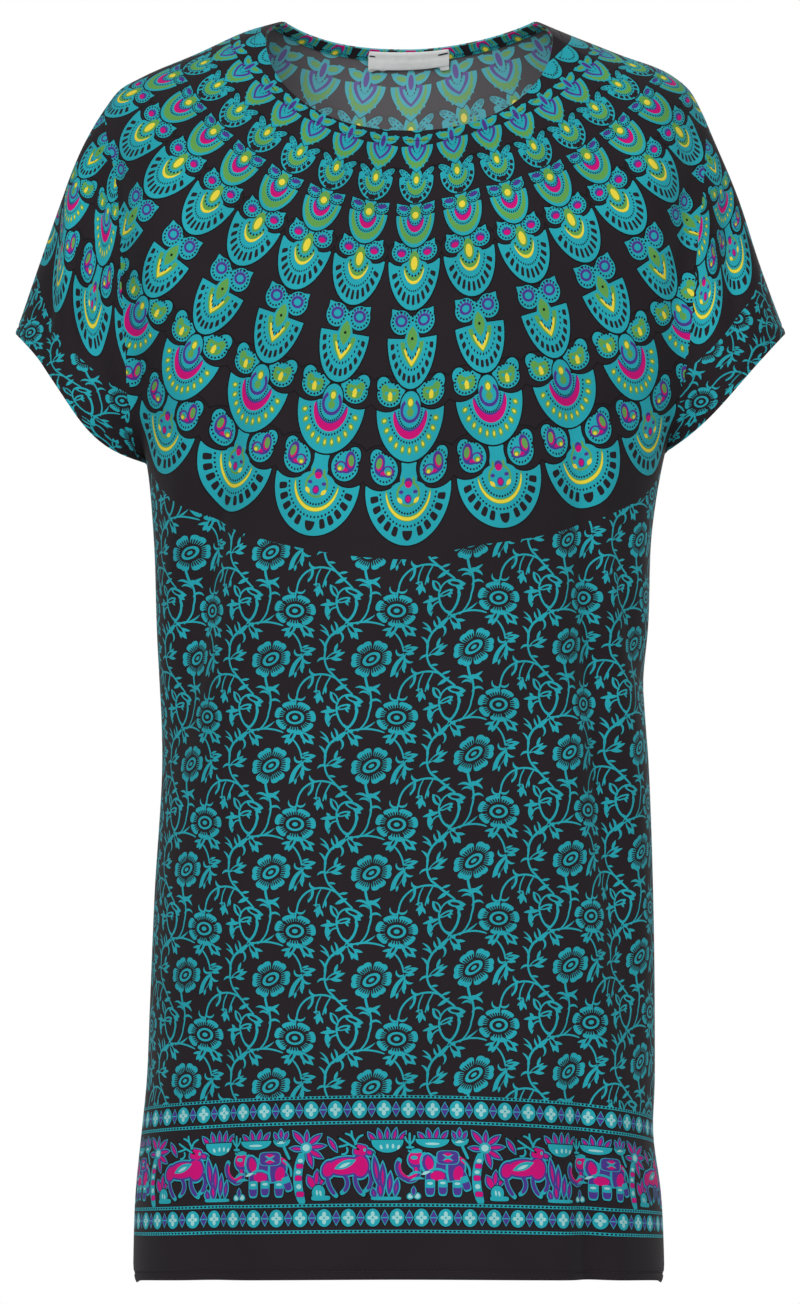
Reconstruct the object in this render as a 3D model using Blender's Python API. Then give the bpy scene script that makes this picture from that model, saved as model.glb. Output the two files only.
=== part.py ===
"""A printed kaftan in its worn, hollow form.

The front and the back are each one piece of cloth with the short sleeves cut on.
They meet at the shoulder and overarm seams and at the side seams. A narrow bias
facing runs round the inside of the neck, and a bare woven label hangs at its back.

Metres. +X is the right of the front view, the front faces -Y and +Z is up. The origin
lies between the two neck ends of the shoulder seams, where the shoulders carry it.
"""

import bpy
import numpy as np

WALL = 0.0015            # cloth
SEAM_GAP = 0.0003        # between the pieces at a seam
FACING_WIDTH = 0.009
FACING_WALL = 0.0010
LABEL_WIDTH = 0.058
LABEL_HEIGHT = 0.0135
LABEL_WALL = 0.0010
LABEL_DROP = 0.0025      # from the back neck edge to the label's top

# From above the neck is an oval, and the shoulder seams lie behind its widest place.
NECK_CENTRE = 0.0065     # the neck sits this far to the right of the body's centre
NECK_HALF = 0.1020       # half the neck, where it is widest
NECK_SEAM_ANGLE = 28.0   # from the widest place back to the shoulder seam, degrees
NECK_FRONT_Y = -0.075
NECK_BACK_Y = 0.062
NECK_SEAM_Y = 0.020
NECK_WIDE_DROP = 0.0150  # from the shoulder seam down to the widest place
FRONT_NECK_DROP = 0.0883
BACK_NECK_DROP = 0.0153
BACK_NECK_POWER = {"left": 2.7, "right": 1.8}  # how flat the back of the neck is
NECK_SQUARENESS = 0.93   # under 1 the scoop is a little fuller than an ellipse
NECK_ARCH = 0.012        # the shoulders' curve would rise this far across the neck
SEAM_FORWARD_HEIGHT = -0.12  # the shoulder seams reach the sides' plane at this height

YOKE_HEIGHT = -0.3170    # where the rings round the neck give way to level rows, at the centre
FRONT_HEM_HEIGHT = -0.8845
BACK_HEM_HEIGHT = -0.8940
SIDE_HEM_HEIGHT = -0.8980

SHOULDER_DEPTH = 0.28    # height over which the body deepens below its shoulder line
SECTION_POWER = 2.35     # 2 is an ellipse, more is squarer
SLEEVE_BLEND = 4.0       # how sharply the sleeves' tubes leave the body
SLEEVE_TUBE_FROM = (0.08, 0.18)  # the tubes fade in between these distances from the centre
SHOULDER_SHARE = 0.70    # of the sleeve's section, at the shoulder
SHOULDER_TO_SLEEVE = (-0.06, -0.20)  # heights between which the section grows
SLEEVE_SECTION = {"front": 0.055, "back": 0.058}
UNDERARM_SECTION = 0.032  # least depth of the cloth just above the underarm,
UNDERARM_REACH = 0.034    # reached this far from it
UNDERARM_FADE = (0.055, 0.095)  # and left again between these distances
SLEEVE_HEM_BOW = {"left": 0.012, "right": 0.004}
SLEEVE_BACK_LIFT = 0.006
FADE_AT_SEAM = 0.012     # folds fade out over this depth beside a seam


def table(columns, rows):
    """Short tables: a name for each column, and a row for each section or fold."""
    return dict(zip(columns.split(), np.array(rows, float).T))


# Outline of the shoulder and overarm from the neck to the sleeve's hem.
OVERARM = table("height left right", [
    (-0.0000, 0.0834, 0.0970),
    (-0.0065, 0.1070, 0.1125),
    (-0.0239, 0.1455, 0.1555),
    (-0.0415, 0.1854, 0.1968),
    (-0.0503, 0.2004, 0.2068),
    (-0.0635, 0.2104, 0.2142),
    (-0.0870, 0.2239, 0.2240),
    (-0.1302, 0.2411, 0.2416),
    (-0.1729, 0.2560, 0.2551),
    (-0.2257, 0.2739, 0.2745),
])

# Level sections of the body. Above the underarm the sides lie inside the sleeves.
BODY = table("height left right front back", [
    (-0.0625, 0.2280, 0.2320, 0.118, 0.104),
    (-0.1525, 0.2270, 0.2300, 0.118, 0.104),
    (-0.2365, 0.2060, 0.2120, 0.118, 0.104),
    (-0.3145, 0.1812, 0.1880, 0.118, 0.104),
    (-0.3655, 0.1756, 0.1796, 0.119, 0.102),
    (-0.4375, 0.1722, 0.1766, 0.119, 0.099),
    (-0.4725, 0.1708, 0.1735, 0.119, 0.098),
    (-0.5365, 0.1697, 0.1768, 0.118, 0.098),
    (-0.6225, 0.1747, 0.1796, 0.118, 0.103),
    (-0.7075, 0.1783, 0.1812, 0.120, 0.109),
    (-0.7600, 0.1806, 0.1814, 0.122, 0.112),
    (-0.7935, 0.1840, 0.1803, 0.123, 0.114),
    (-0.8365, 0.1883, 0.1858, 0.125, 0.117),
    (-0.8985, 0.1903, 0.1887, 0.127, 0.119),
])
UNDERARM_HEIGHT = {"left": -0.3185, "right": -0.3105}

# The largest folds as troughs through three places, a row each. They are deepest at the
# middle of their length. Lean raises a ridge beside the trough, on the centre's side.
RIDGE = 1.6              # how high the ridge is for a lean of 1
FOLD_COLUMNS = "x1 z1 x2 z2 x3 z3 width depth lean"
FOLDS = {
    "front": table(FOLD_COLUMNS, [
        (-0.206, -0.060, -0.206, -0.170, -0.190, -0.285, 0.015, 0.011, 0.6),
        (0.216, -0.060, 0.211, -0.155, 0.198, -0.258, 0.015, 0.011, 0.6),
        (-0.220, -0.080, -0.229, -0.160, -0.231, -0.270, 0.011, 0.005, 0.2),
        (-0.110, -0.190, -0.139, -0.355, -0.168, -0.560, 0.015, 0.009, 0.9),
        (0.126, -0.220, 0.139, -0.400, 0.172, -0.760, 0.014, 0.009, 0.9),
        (0.153, -0.330, 0.160, -0.400, 0.172, -0.490, 0.010, 0.006, 0.4),
        (0.124, -0.660, 0.140, -0.860, 0.146, -1.080, 0.013, 0.008, 0.7),
        (-0.118, -0.600, -0.133, -0.820, -0.142, -1.060, 0.018, 0.006, 0.2),
    ]),
    "back": table(FOLD_COLUMNS, [
        (-0.210, -0.065, -0.203, -0.180, -0.190, -0.282, 0.016, 0.011, 0.5),
        (0.214, -0.060, 0.208, -0.175, 0.196, -0.278, 0.015, 0.010, 0.6),
        (-0.098, -0.180, -0.128, -0.370, -0.160, -0.590, 0.018, 0.009, 0.7),
        (0.110, -0.210, 0.129, -0.420, 0.162, -0.690, 0.016, 0.008, 0.8),
        (0.045, -0.500, 0.062, -0.800, 0.068, -1.120, 0.024, 0.008, 0.2),
        (-0.060, -0.560, -0.068, -0.840, -0.060, -1.100, 0.022, 0.007, 0.2),
    ]),
}

SLEEVE_COLUMNS = 10      # along half a sleeve's hem
BODY_COLUMNS = 12        # from the side seam to the centre
YOKE_ROWS = 20           # from the neck to the underarm
BODY_ROWS = 19           # from the underarm to the hem
LABEL_COLUMNS = 8
LABEL_SPAN = 6           # columns of the back beside the centre that the label's place is read from
LABEL_ROWS = 5           # and rows from the neck edge

# How finely the smooth curves are worked out before places are read from them.
NECK_STEPS = 300
OVERARM_STEPS = 80
FOLD_STEPS = 40
COLUMN_STEPS = 61
SHARP_ANGLE = 50.0       # edges sharper than this many degrees aren't shaded smooth

SIDES = {"left": -1.0, "right": 1.0}
FACES = {"front": -1.0, "back": 1.0}


def smooth(knots, values, at):
    """Cubic curve through the rows of a table, read at the given places."""
    order = np.argsort(knots)
    knots, values = knots[order], values[order]
    slopes = np.gradient(values, knots)
    at = np.clip(at, knots[0], knots[-1])
    cell = np.clip(np.searchsorted(knots, at) - 1, 0, len(knots) - 2)
    span = knots[cell + 1] - knots[cell]
    t = (at - knots[cell]) / span
    return ((1 + 2 * t) * (1 - t) ** 2 * values[cell] + t * (1 - t) ** 2 * span * slopes[cell]
            + t * t * (3 - 2 * t) * values[cell + 1] - t * t * (1 - t) * span * slopes[cell + 1])


def smooth_path(points, count):
    """A smooth path through the points, as evenly spaced places."""
    points = np.asarray(points, float)
    run = np.concatenate([[0], np.cumsum(np.linalg.norm(np.diff(points, axis=0), axis=1))])
    fine = np.linspace(0, run[-1], 8 * count)
    path = np.stack([smooth(run, points[:, k], fine) for k in range(points.shape[1])], axis=1)
    return resample(path, np.linspace(0, 1, count))


def lengths(path):
    """Distance along a path at each of its points."""
    steps = np.linalg.norm(np.diff(path, axis=0), axis=1)
    return np.concatenate([[0], np.cumsum(steps)])


def resample(path, fractions):
    """Places on a path at fractions of its length."""
    run = lengths(path)
    return np.stack([np.interp(fractions * run[-1], run, path[:, k])
                     for k in range(path.shape[1])], axis=1)


def nearest(points, path):
    """Distance from each point to a path, the side it lies on, and how far along it is."""
    start, step = path[:-1], np.diff(path, axis=0)
    offset = points[:, None, :] - start[None, :, :]
    share = np.clip((offset * step).sum(2) / (step * step).sum(1), 0, 1)
    gap = np.linalg.norm(offset - share[:, :, None] * step, axis=2)
    cell = gap.argmin(axis=1)
    row = np.arange(len(points))
    chosen = offset[row, cell]
    side = np.sign(step[cell, 0] * chosen[:, 1] - step[cell, 1] * chosen[:, 0])
    return gap[row, cell], side, (cell + share[row, cell]) / len(start)


def overarm_path(side):
    """Shoulder and overarm seam in the front view, from the neck out."""
    return smooth_path(np.stack([SIDES[side] * OVERARM[side], OVERARM["height"]], axis=1),
                       OVERARM_STEPS)


def underarm(side):
    """Lower end of a sleeve's hem, where the side seam starts."""
    height = UNDERARM_HEIGHT[side]
    return np.array([SIDES[side] * smooth(BODY["height"], BODY[side], height), height])


def sleeve_line(side):
    """Outer side of a sleeve, carried on straight past its hem."""
    path = overarm_path(side)
    lower = path[-OVERARM_STEPS // 6]
    return np.vstack([path, path[-1] + 4 * (path[-1] - lower)])


def ease(share):
    """Smooth step from 0 to 1."""
    share = np.clip(share, 0, 1)
    return share * share * (3 - 2 * share)


def rise(share):
    """Quarter-round rise from 0 to 1."""
    return np.sqrt(np.maximum(0, 1 - (1 - np.clip(share, 0, 1)) ** 2))


def shoulder_height(x):
    """Height of the shoulders' outline over each x, arched across the open neck."""
    left, right = overarm_path("left"), overarm_path("right")
    outline = np.vstack([left[::-1], right])
    across = (outline[:, 0].min(), outline[:, 0].max())
    height = np.interp(np.clip(x, *across), outline[:, 0], outline[:, 1])
    reach = (x - NECK_CENTRE) / (right[0, 0] - NECK_CENTRE)
    return height + NECK_ARCH * np.maximum(0, 1 - reach ** 2)


def depth(points, face):
    """How far the cloth stands out from the seams' plane, at places of the front view."""
    x, z = points.T
    half = np.where(x < 0, smooth(BODY["height"], BODY["left"], z),
                    smooth(BODY["height"], BODY["right"], z))
    across = np.clip(np.abs(x) / half, 0, 1)
    oval = np.maximum(0, 1 - across ** SECTION_POWER) ** (1 / SECTION_POWER)
    body = (smooth(BODY["height"], BODY[face], z) * oval
            * rise((shoulder_height(x) - z) / SHOULDER_DEPTH))
    total = body ** SLEEVE_BLEND
    for side in SIDES:
        line = sleeve_line(side)
        width = nearest(underarm(side)[None], line)[0][0]
        inward = nearest(points, line)[0] / width
        grown = ease((z - SHOULDER_TO_SLEEVE[0]) / np.diff(SHOULDER_TO_SLEEVE))
        section = SLEEVE_SECTION[face] * (SHOULDER_SHARE + (1 - SHOULDER_SHARE) * grown)
        tube = section * rise(2 * np.minimum(inward, 1 - inward))
        tube = tube * ease((SIDES[side] * x - SLEEVE_TUBE_FROM[0]) / np.diff(SLEEVE_TUBE_FROM))
        away = np.linalg.norm(points - underarm(side), axis=1)
        above = (z - UNDERARM_HEIGHT[side]) / UNDERARM_REACH
        web = UNDERARM_SECTION * rise(away / UNDERARM_REACH) * ease(above)
        web = web * ease((UNDERARM_FADE[1] - away) / np.diff(UNDERARM_FADE))
        total = total + tube ** SLEEVE_BLEND + web ** SLEEVE_BLEND
    return total ** (1 / SLEEVE_BLEND)


def seam_plane(z):
    """The y of the seams: a little behind the sides' plane towards the neck."""
    return NECK_SEAM_Y * ease(1 - z / SEAM_FORWARD_HEIGHT)


def neck_edge(side, face, count):
    """Neck edge from the shoulder seam to the centre, as even places along its loop."""
    start = np.radians(NECK_SEAM_ANGLE)
    back_reach = (NECK_BACK_Y - NECK_SEAM_Y) / (1 - np.sin(start))
    middle = NECK_BACK_Y - back_reach
    line = overarm_path(side)
    seam = abs(line[0, 0] - NECK_CENTRE)
    if face == "front":
        angle = np.linspace(-start, np.pi / 2, NECK_STEPS)
        out = NECK_HALF * np.cos(angle) ** NECK_SQUARENESS
        behind = np.clip(-angle / start, 0, 1)
        y = middle - np.where(angle < 0, back_reach, middle - NECK_FRONT_Y) * np.sin(angle)
        shoulder = np.interp(out, np.abs(line[:, 0] - NECK_CENTRE), line[:, 1])
        wide = shoulder - (shoulder + NECK_WIDE_DROP) * (1 - behind) ** 2
        scoop = -NECK_WIDE_DROP - (FRONT_NECK_DROP - NECK_WIDE_DROP) * np.sin(angle)
        z = np.where(angle < 0, wide, scoop)
    else:
        angle = np.linspace(start, np.pi / 2, NECK_STEPS)
        out = NECK_HALF * np.cos(angle) ** NECK_SQUARENESS
        behind = np.clip(1 - (angle - start) / start, 0, 1)
        y = middle + back_reach * np.sin(angle)
        z = -BACK_NECK_DROP * (1 - (out / out[0]) ** BACK_NECK_POWER[side])
    out = out + (seam - out[0]) * behind ** 2
    loop = np.stack([NECK_CENTRE + SIDES[side] * out, y, z], axis=1)
    loop[:, 1] += FACES[face] * SEAM_GAP / 2
    return resample(loop, np.linspace(0, 1, count))


def hem_row(side, face, share):
    """A level row of the body from the side seam to the centre; share 0 is the underarm's."""
    angle = np.linspace(0, np.pi / 2, BODY_COLUMNS + 1)
    centre_hem = FRONT_HEM_HEIGHT if face == "front" else BACK_HEM_HEIGHT
    top = UNDERARM_HEIGHT[side] + (YOKE_HEIGHT - UNDERARM_HEIGHT[side]) * np.sin(angle) ** 2
    bottom = SIDE_HEM_HEIGHT + (centre_hem - SIDE_HEM_HEIGHT) * np.sin(angle)
    height = top + share * (bottom - top)
    half = smooth(BODY["height"], BODY[side], height)
    return np.stack([SIDES[side] * half * np.cos(angle), height], axis=1)


def outer_edge(side, face):
    """Sleeve hem from the overarm to the underarm, then the first level row."""
    start, end = overarm_path(side)[-1], underarm(side)
    share = (1 - np.cos(np.linspace(0, np.pi, SLEEVE_COLUMNS + 1))) / 2
    along = end - start
    down = np.array([SIDES[side] * -along[1], SIDES[side] * along[0]]) / np.linalg.norm(along)
    bow = SLEEVE_HEM_BOW[side] - (SLEEVE_BACK_LIFT if face == "back" else 0)
    hem = start + share[:, None] * along + (bow * np.sin(np.pi * share ** 2))[:, None] * down
    return np.vstack([hem, hem_row(side, face, 0)[1:]])


def on_cloth(points, face, at_seam):
    """Places of the front view put on the cloth, with the seams' gap."""
    x, z = points.T
    out = np.where(at_seam, 0, depth(points, face)) + SEAM_GAP / 2
    return np.stack([x, seam_plane(z) + FACES[face] * out, z], axis=1)


def half_yoke(side, face):
    """Rings from the neck to the sleeve's hem and the underarm, as columns from the neck."""
    count = SLEEVE_COLUMNS + BODY_COLUMNS + 1
    blend = ease(np.linspace(0, 1, count))[:, None, None]
    share = np.linspace(0, 1, COLUMN_STEPS)
    loop = neck_edge(side, face, count)
    neck = loop[:, None, [0, 2]]
    outer = outer_edge(side, face)[:, None]
    seam = resample(overarm_path(side), share)[None]
    down = share[None, :, None]
    centre = neck[-1:] + down * (outer[-1:] - neck[-1:])
    corners = ((1 - blend) * ((1 - down) * seam[:, :1] + down * seam[:, -1:])
               + blend * ((1 - down) * centre[:, :1] + down * centre[:, -1:]))
    view = (1 - blend) * seam + blend * centre + (1 - down) * neck + down * outer - corners
    at_seam = np.zeros(view.shape[:2], bool)
    at_seam[0] = True
    at_seam[SLEEVE_COLUMNS, -1] = True
    columns = []
    for path, seams, edge in zip(view, at_seam, loop):
        cloth = on_cloth(path, face, seams)
        cloth[:, 1] += (edge[1] - cloth[0, 1]) * (1 - share) ** 3
        first = FACING_WIDTH / lengths(cloth)[-1]
        columns.append(resample(cloth, np.concatenate([[0], np.linspace(first, 1, YOKE_ROWS)])))
    return np.array(columns)


def half_body(side, face):
    """Level rows below the underarm, as columns from the side seam to the centre."""
    rows = []
    for share in np.linspace(0, 1, BODY_ROWS + 1)[1:]:
        row = hem_row(side, face, share)
        rows.append(on_cloth(row, face, np.arange(len(row)) == 0))
    return np.array(rows).transpose(1, 0, 2)


def panel_grid(face):
    """A whole front or back as a grid of places: columns across, rows down, NaN outside."""
    halves = []
    for side in SIDES:
        yoke = half_yoke(side, face)
        body = half_body(side, face)
        below = np.full((SLEEVE_COLUMNS, BODY_ROWS, 3), np.nan)
        halves.append(np.concatenate([yoke, np.concatenate([below, body])], axis=1))
    left, right = halves
    return np.concatenate([left, right[:-1][::-1]])


def grid_triangles(grid, reversed_from=None):
    """Two triangles for each whole cell of a grid, their places numbered column by column.

    Columns that run the other way than on their panel are cut along the other diagonal.
    """
    whole = ~np.isnan(grid[:, :, 0])
    number = np.arange(whole.size).reshape(whole.shape)
    cells = whole[:-1, :-1] & whole[1:, :-1] & whole[1:, 1:] & whole[:-1, 1:]
    column = np.nonzero(cells)[0]
    a, b, c, d = (block[cells] for block in
                  (number[:-1, :-1], number[1:, :-1], number[1:, 1:], number[:-1, 1:]))
    if reversed_from is not None:
        turned = column >= reversed_from
        a, b, c, d = (np.where(turned, *pair) for pair in ((b, a), (c, b), (d, c), (a, d)))
    return np.concatenate([np.stack([a, b, c], 1), np.stack([a, c, d], 1)])


def unit(vectors):
    """Vectors of length 1."""
    return vectors / np.maximum(np.linalg.norm(vectors, axis=1, keepdims=True), 1e-12)


def outward(places, triangles):
    """Normals at the places, turned away from the plane between the front and the back."""
    a, b, c = (places[triangles[:, k]] for k in range(3))
    facing = unit(np.cross(b - a, c - a))
    normals = np.zeros_like(places)
    for k in range(3):
        np.add.at(normals, triangles[:, k], facing)
    normals = unit(normals)
    return normals * np.sign(np.nansum(places[:, 1] * normals[:, 1]))


def crease(places, normals, face):
    """Push the cloth in along the folds' troughs and out along their ridges."""
    view = places[:, [0, 2]]
    push = np.zeros(len(view))
    folds = FOLDS[face]
    for k in range(len(folds["x1"])):
        row = {name: column[k] for name, column in folds.items()}
        path = smooth_path([(row["x1"], row["z1"]), (row["x2"], row["z2"]),
                            (row["x3"], row["z3"])], FOLD_STEPS)
        gap, side, along = nearest(view, path)
        inward = side * np.sign(row["x2"]) * gap / row["width"]
        taper = np.sin(np.pi * along)
        ridge = 1 - RIDGE * row["lean"] * inward
        push -= row["depth"] * taper * ridge * np.exp(-inward ** 2)
    out = np.abs(places[:, 1] - seam_plane(places[:, 2]))
    return push * (1 - np.exp(-(out / FADE_AT_SEAM) ** 2))


def panel(face):
    """Outer places, outward normals and triangles of the front or the back."""
    grid = panel_grid(face)
    triangles = grid_triangles(grid)
    places = grid.reshape(-1, 3)
    normals = outward(places, triangles)
    places = places + crease(places, normals, face)[:, None] * normals
    normals = outward(places, triangles)
    seam = np.zeros(grid.shape[:2], bool)
    seam[[0, -1], :YOKE_ROWS + 1] = True
    seam[[SLEEVE_COLUMNS, -SLEEVE_COLUMNS - 1], YOKE_ROWS:] = True
    seam = seam.ravel()
    normals[seam] = unit(normals[seam] * (1, 0, 1))
    corners = np.arange(seam.size).reshape(grid.shape[:2])
    normals[corners[[SLEEVE_COLUMNS, -SLEEVE_COLUMNS - 1], YOKE_ROWS]] = (0, 0, -1)
    return grid.shape[:2], places, normals, triangles


def solid(name, outer, inner, triangles, color, roughness):
    """A closed wall between two matching sheets, joined round every free edge."""
    used = np.unique(triangles)
    number = np.full(len(outer), -1)
    number[used] = np.arange(len(used))
    near = number[triangles]
    away = np.einsum("ij,ij->i", np.cross(outer[triangles[:, 1]] - outer[triangles[:, 0]],
                                          outer[triangles[:, 2]] - outer[triangles[:, 0]]),
                     (outer - inner)[triangles].sum(axis=1))
    if away.sum() < 0:
        near = near[:, ::-1]
    far = near[:, ::-1] + len(used)
    edges = np.concatenate([near[:, [0, 1]], near[:, [1, 2]], near[:, [2, 0]]])
    known = {(a, b) for a, b in edges.tolist()}
    rim = [(a, b) for a, b in edges.tolist() if (b, a) not in known]
    sides = [(b, a, a + len(used)) for a, b in rim]
    sides += [(b, a + len(used), b + len(used)) for a, b in rim]
    places = np.concatenate([outer[used], inner[used]])
    mesh = bpy.data.meshes.new(name)
    mesh.from_pydata(places.tolist(), [], near.tolist() + far.tolist() + sides)
    mesh.shade_smooth()
    mesh.set_sharp_from_angle(angle=np.radians(SHARP_ANGLE))
    material = bpy.data.materials.new(name)
    material.use_nodes = True
    finish = material.node_tree.nodes["Principled BSDF"].inputs
    finish["Base Color"].default_value = (*color, 1)
    finish["Roughness"].default_value = roughness
    finish["Metallic"].default_value = 0
    mesh.materials.append(material)
    item = bpy.data.objects.new(name, mesh)
    bpy.context.collection.objects.link(item)
    return item


def build_panel(face, color):
    """The front or the back, as a wall of cloth."""
    shape, places, normals, triangles = panel(face)
    solid(face, places, places - WALL * normals, triangles, color, 0.75)
    return places.reshape(*shape, 3), normals.reshape(*shape, 3)


def neck_facing(sheets, color):
    """A strip round the inside of the neck, level with its edge."""
    rows = []
    for face in ("front", "back"):
        places, normals = (sheet[:, :2] for sheet in sheets[face])
        trim = 1 if face == "front" else -1
        rows.append((places[::trim], normals[::trim]))
    places = np.concatenate([rows[0][0], rows[1][0][1:-1]])
    normals = np.concatenate([rows[0][1], rows[1][1][1:-1]])
    ends = [0, len(rows[0][0]) - 1]
    places[ends, :, 1] = seam_plane(places[ends, :, 2])
    places = np.concatenate([places, places[:1]])
    normals = np.concatenate([normals, normals[:1]])
    outer = places - (WALL + SEAM_GAP) * normals
    inner = outer - FACING_WALL * normals
    triangles = grid_triangles(places, reversed_from=len(rows[0][0]) - 1)
    closing = (len(places) - 1) * 2
    triangles = np.where(triangles >= closing, triangles - closing, triangles)
    flat = slice(0, closing)
    solid("neck_facing", outer.reshape(-1, 3)[flat], inner.reshape(-1, 3)[flat], triangles,
          color, 0.75)


def label(sheets, color):
    """A bare woven label, hung inside the back neck over the facing."""
    places, normals = sheets["back"]
    middle = places.shape[0] // 2
    columns = range(middle - LABEL_SPAN, middle + LABEL_SPAN + 1)
    inside = WALL + FACING_WALL + 2 * SEAM_GAP
    edges = []
    for fraction in (LABEL_DROP, LABEL_DROP + LABEL_HEIGHT):
        row = []
        for column in columns:
            path, turn = places[column, :LABEL_ROWS], normals[column, :LABEL_ROWS]
            run = lengths(path)
            at = [np.interp(fraction, run, path[:, k]) for k in range(3)]
            normal = [np.interp(fraction, run, turn[:, k]) for k in range(3)]
            row.append(np.array(at) - inside * np.array(normal))
        row = np.array(row)
        run = lengths(row)
        middle_run = run[len(run) // 2]
        cuts = middle_run + LABEL_WIDTH * np.linspace(-0.5, 0.5, LABEL_COLUMNS + 1)
        edges.append(np.stack([np.interp(cuts, run, row[:, k]) for k in range(3)], axis=1))
    grid = np.stack(edges, axis=1)
    triangles = grid_triangles(grid)
    outer = grid.reshape(-1, 3)
    normals = outward(outer, triangles)
    solid("label", outer, outer - LABEL_WALL * normals, triangles, color, 0.6)


def main():
    """Build every piece."""
    for item in list(bpy.data.objects):
        bpy.data.objects.remove(item, do_unlink=True)
    sheets = {"front": build_panel("front", (0.023, 0.120, 0.130)),
              "back": build_panel("back", (0.020, 0.100, 0.112))}
    neck_facing(sheets, (0.015, 0.060, 0.070))
    label(sheets, (0.80, 0.80, 0.78))


main()
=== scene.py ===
import bpy
import numpy as np
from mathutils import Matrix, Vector


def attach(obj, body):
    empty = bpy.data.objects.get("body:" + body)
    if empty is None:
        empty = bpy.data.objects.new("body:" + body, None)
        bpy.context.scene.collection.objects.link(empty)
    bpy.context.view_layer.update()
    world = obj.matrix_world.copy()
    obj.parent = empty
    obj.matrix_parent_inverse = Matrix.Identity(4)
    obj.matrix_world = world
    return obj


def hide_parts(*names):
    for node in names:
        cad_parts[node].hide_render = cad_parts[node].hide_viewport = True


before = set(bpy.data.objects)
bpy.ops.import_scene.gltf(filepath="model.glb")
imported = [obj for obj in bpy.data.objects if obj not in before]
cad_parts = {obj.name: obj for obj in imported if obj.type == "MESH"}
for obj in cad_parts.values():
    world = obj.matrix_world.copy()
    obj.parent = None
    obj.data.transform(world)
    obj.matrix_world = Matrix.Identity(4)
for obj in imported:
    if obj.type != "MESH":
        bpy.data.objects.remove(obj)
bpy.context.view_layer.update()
print("frame loaded")

# The cut: the same form as the solids, on a finer grid, in metres.
cut = {
    "neckCentre": 0.0065, "neckHalf": 0.1020, "neckSeamAngle": 28.0,
    "neckFrontY": -0.075, "neckBackY": 0.062, "neckSeamY": 0.020, "neckWideDrop": 0.0150,
    "frontNeckDrop": 0.0883, "backNeckDrop": 0.0153, "backNeckPower": {"left": 2.7, "right": 1.8},
    "neckSquareness": 0.93, "neckArch": 0.012, "seamForwardHeight": -0.12,
    "yokeHeight": -0.3170, "sideHemHeight": -0.8980,
    "hemHeight": {"front": -0.8845, "back": -0.8940},
    "underarmHeight": {"left": -0.3185, "right": -0.3105},
    "shoulderDepth": 0.28, "sectionPower": 2.35, "sleeveBlend": 4.0,
    "sleeveTubeFrom": (0.08, 0.18), "shoulderShare": 0.70, "shoulderToSleeve": (-0.06, -0.20),
    "sleeveSection": {"front": 0.055, "back": 0.058},
    "underarmSection": 0.032, "underarmReach": 0.034, "underarmFade": (0.055, 0.095),
    "sleeveHemBow": {"left": 0.012, "right": 0.004}, "sleeveBackLift": 0.006,
    "facingWidth": 0.009, "solidGap": 0.0003,
    "bandHeight": {"left": -0.778, "right": -0.786, "centre": -0.7579},
    "sleeveColumns": 40, "bodyColumns": 48, "facingRows": 4, "yokeRows": 76, "bodyRows": 56,
    "bandRows": 18, "hemWidth": 0.0055, "cornerRound": (0.016, 0.0045),
    "seamGroove": 0.0006, "columnGap": 0.00005, "widestColumnGap": 0.006, "columnGapEnds": 8,
    "columnSteps": 161, "overarmSteps": 80, "neckSteps": 600, "bandDrop": 0.12, "stitchDip": 0.0003,
}
sides = {"left": -1.0, "right": 1.0}
faces = {"front": -1.0, "back": 1.0}


def table(columns, rows):
    # a name for each column, and a row for each section or fold
    return dict(zip(columns.split(), np.array(rows, float).T))


overarm = table("height left right", [
    (-0.0000, 0.0834, 0.0970), (-0.0065, 0.1070, 0.1125), (-0.0239, 0.1455, 0.1555),
    (-0.0415, 0.1854, 0.1968), (-0.0503, 0.2004, 0.2068), (-0.0635, 0.2104, 0.2142),
    (-0.0870, 0.2239, 0.2240), (-0.1302, 0.2411, 0.2416), (-0.1729, 0.2560, 0.2551),
    (-0.2257, 0.2739, 0.2745),
])
body = table("height left right front back", [
    (-0.0625, 0.2280, 0.2320, 0.118, 0.104), (-0.1525, 0.2270, 0.2300, 0.118, 0.104),
    (-0.2365, 0.2060, 0.2120, 0.118, 0.104), (-0.3145, 0.1812, 0.1880, 0.118, 0.104),
    (-0.3655, 0.1756, 0.1796, 0.119, 0.102), (-0.4375, 0.1722, 0.1766, 0.119, 0.099),
    (-0.4725, 0.1708, 0.1735, 0.119, 0.098), (-0.5365, 0.1697, 0.1768, 0.118, 0.098),
    (-0.6225, 0.1747, 0.1796, 0.118, 0.103), (-0.7075, 0.1783, 0.1812, 0.120, 0.109),
    (-0.7600, 0.1806, 0.1814, 0.122, 0.112), (-0.7935, 0.1840, 0.1803, 0.123, 0.114),
    (-0.8365, 0.1883, 0.1858, 0.125, 0.117), (-0.8985, 0.1903, 0.1887, 0.127, 0.119),
])

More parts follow.
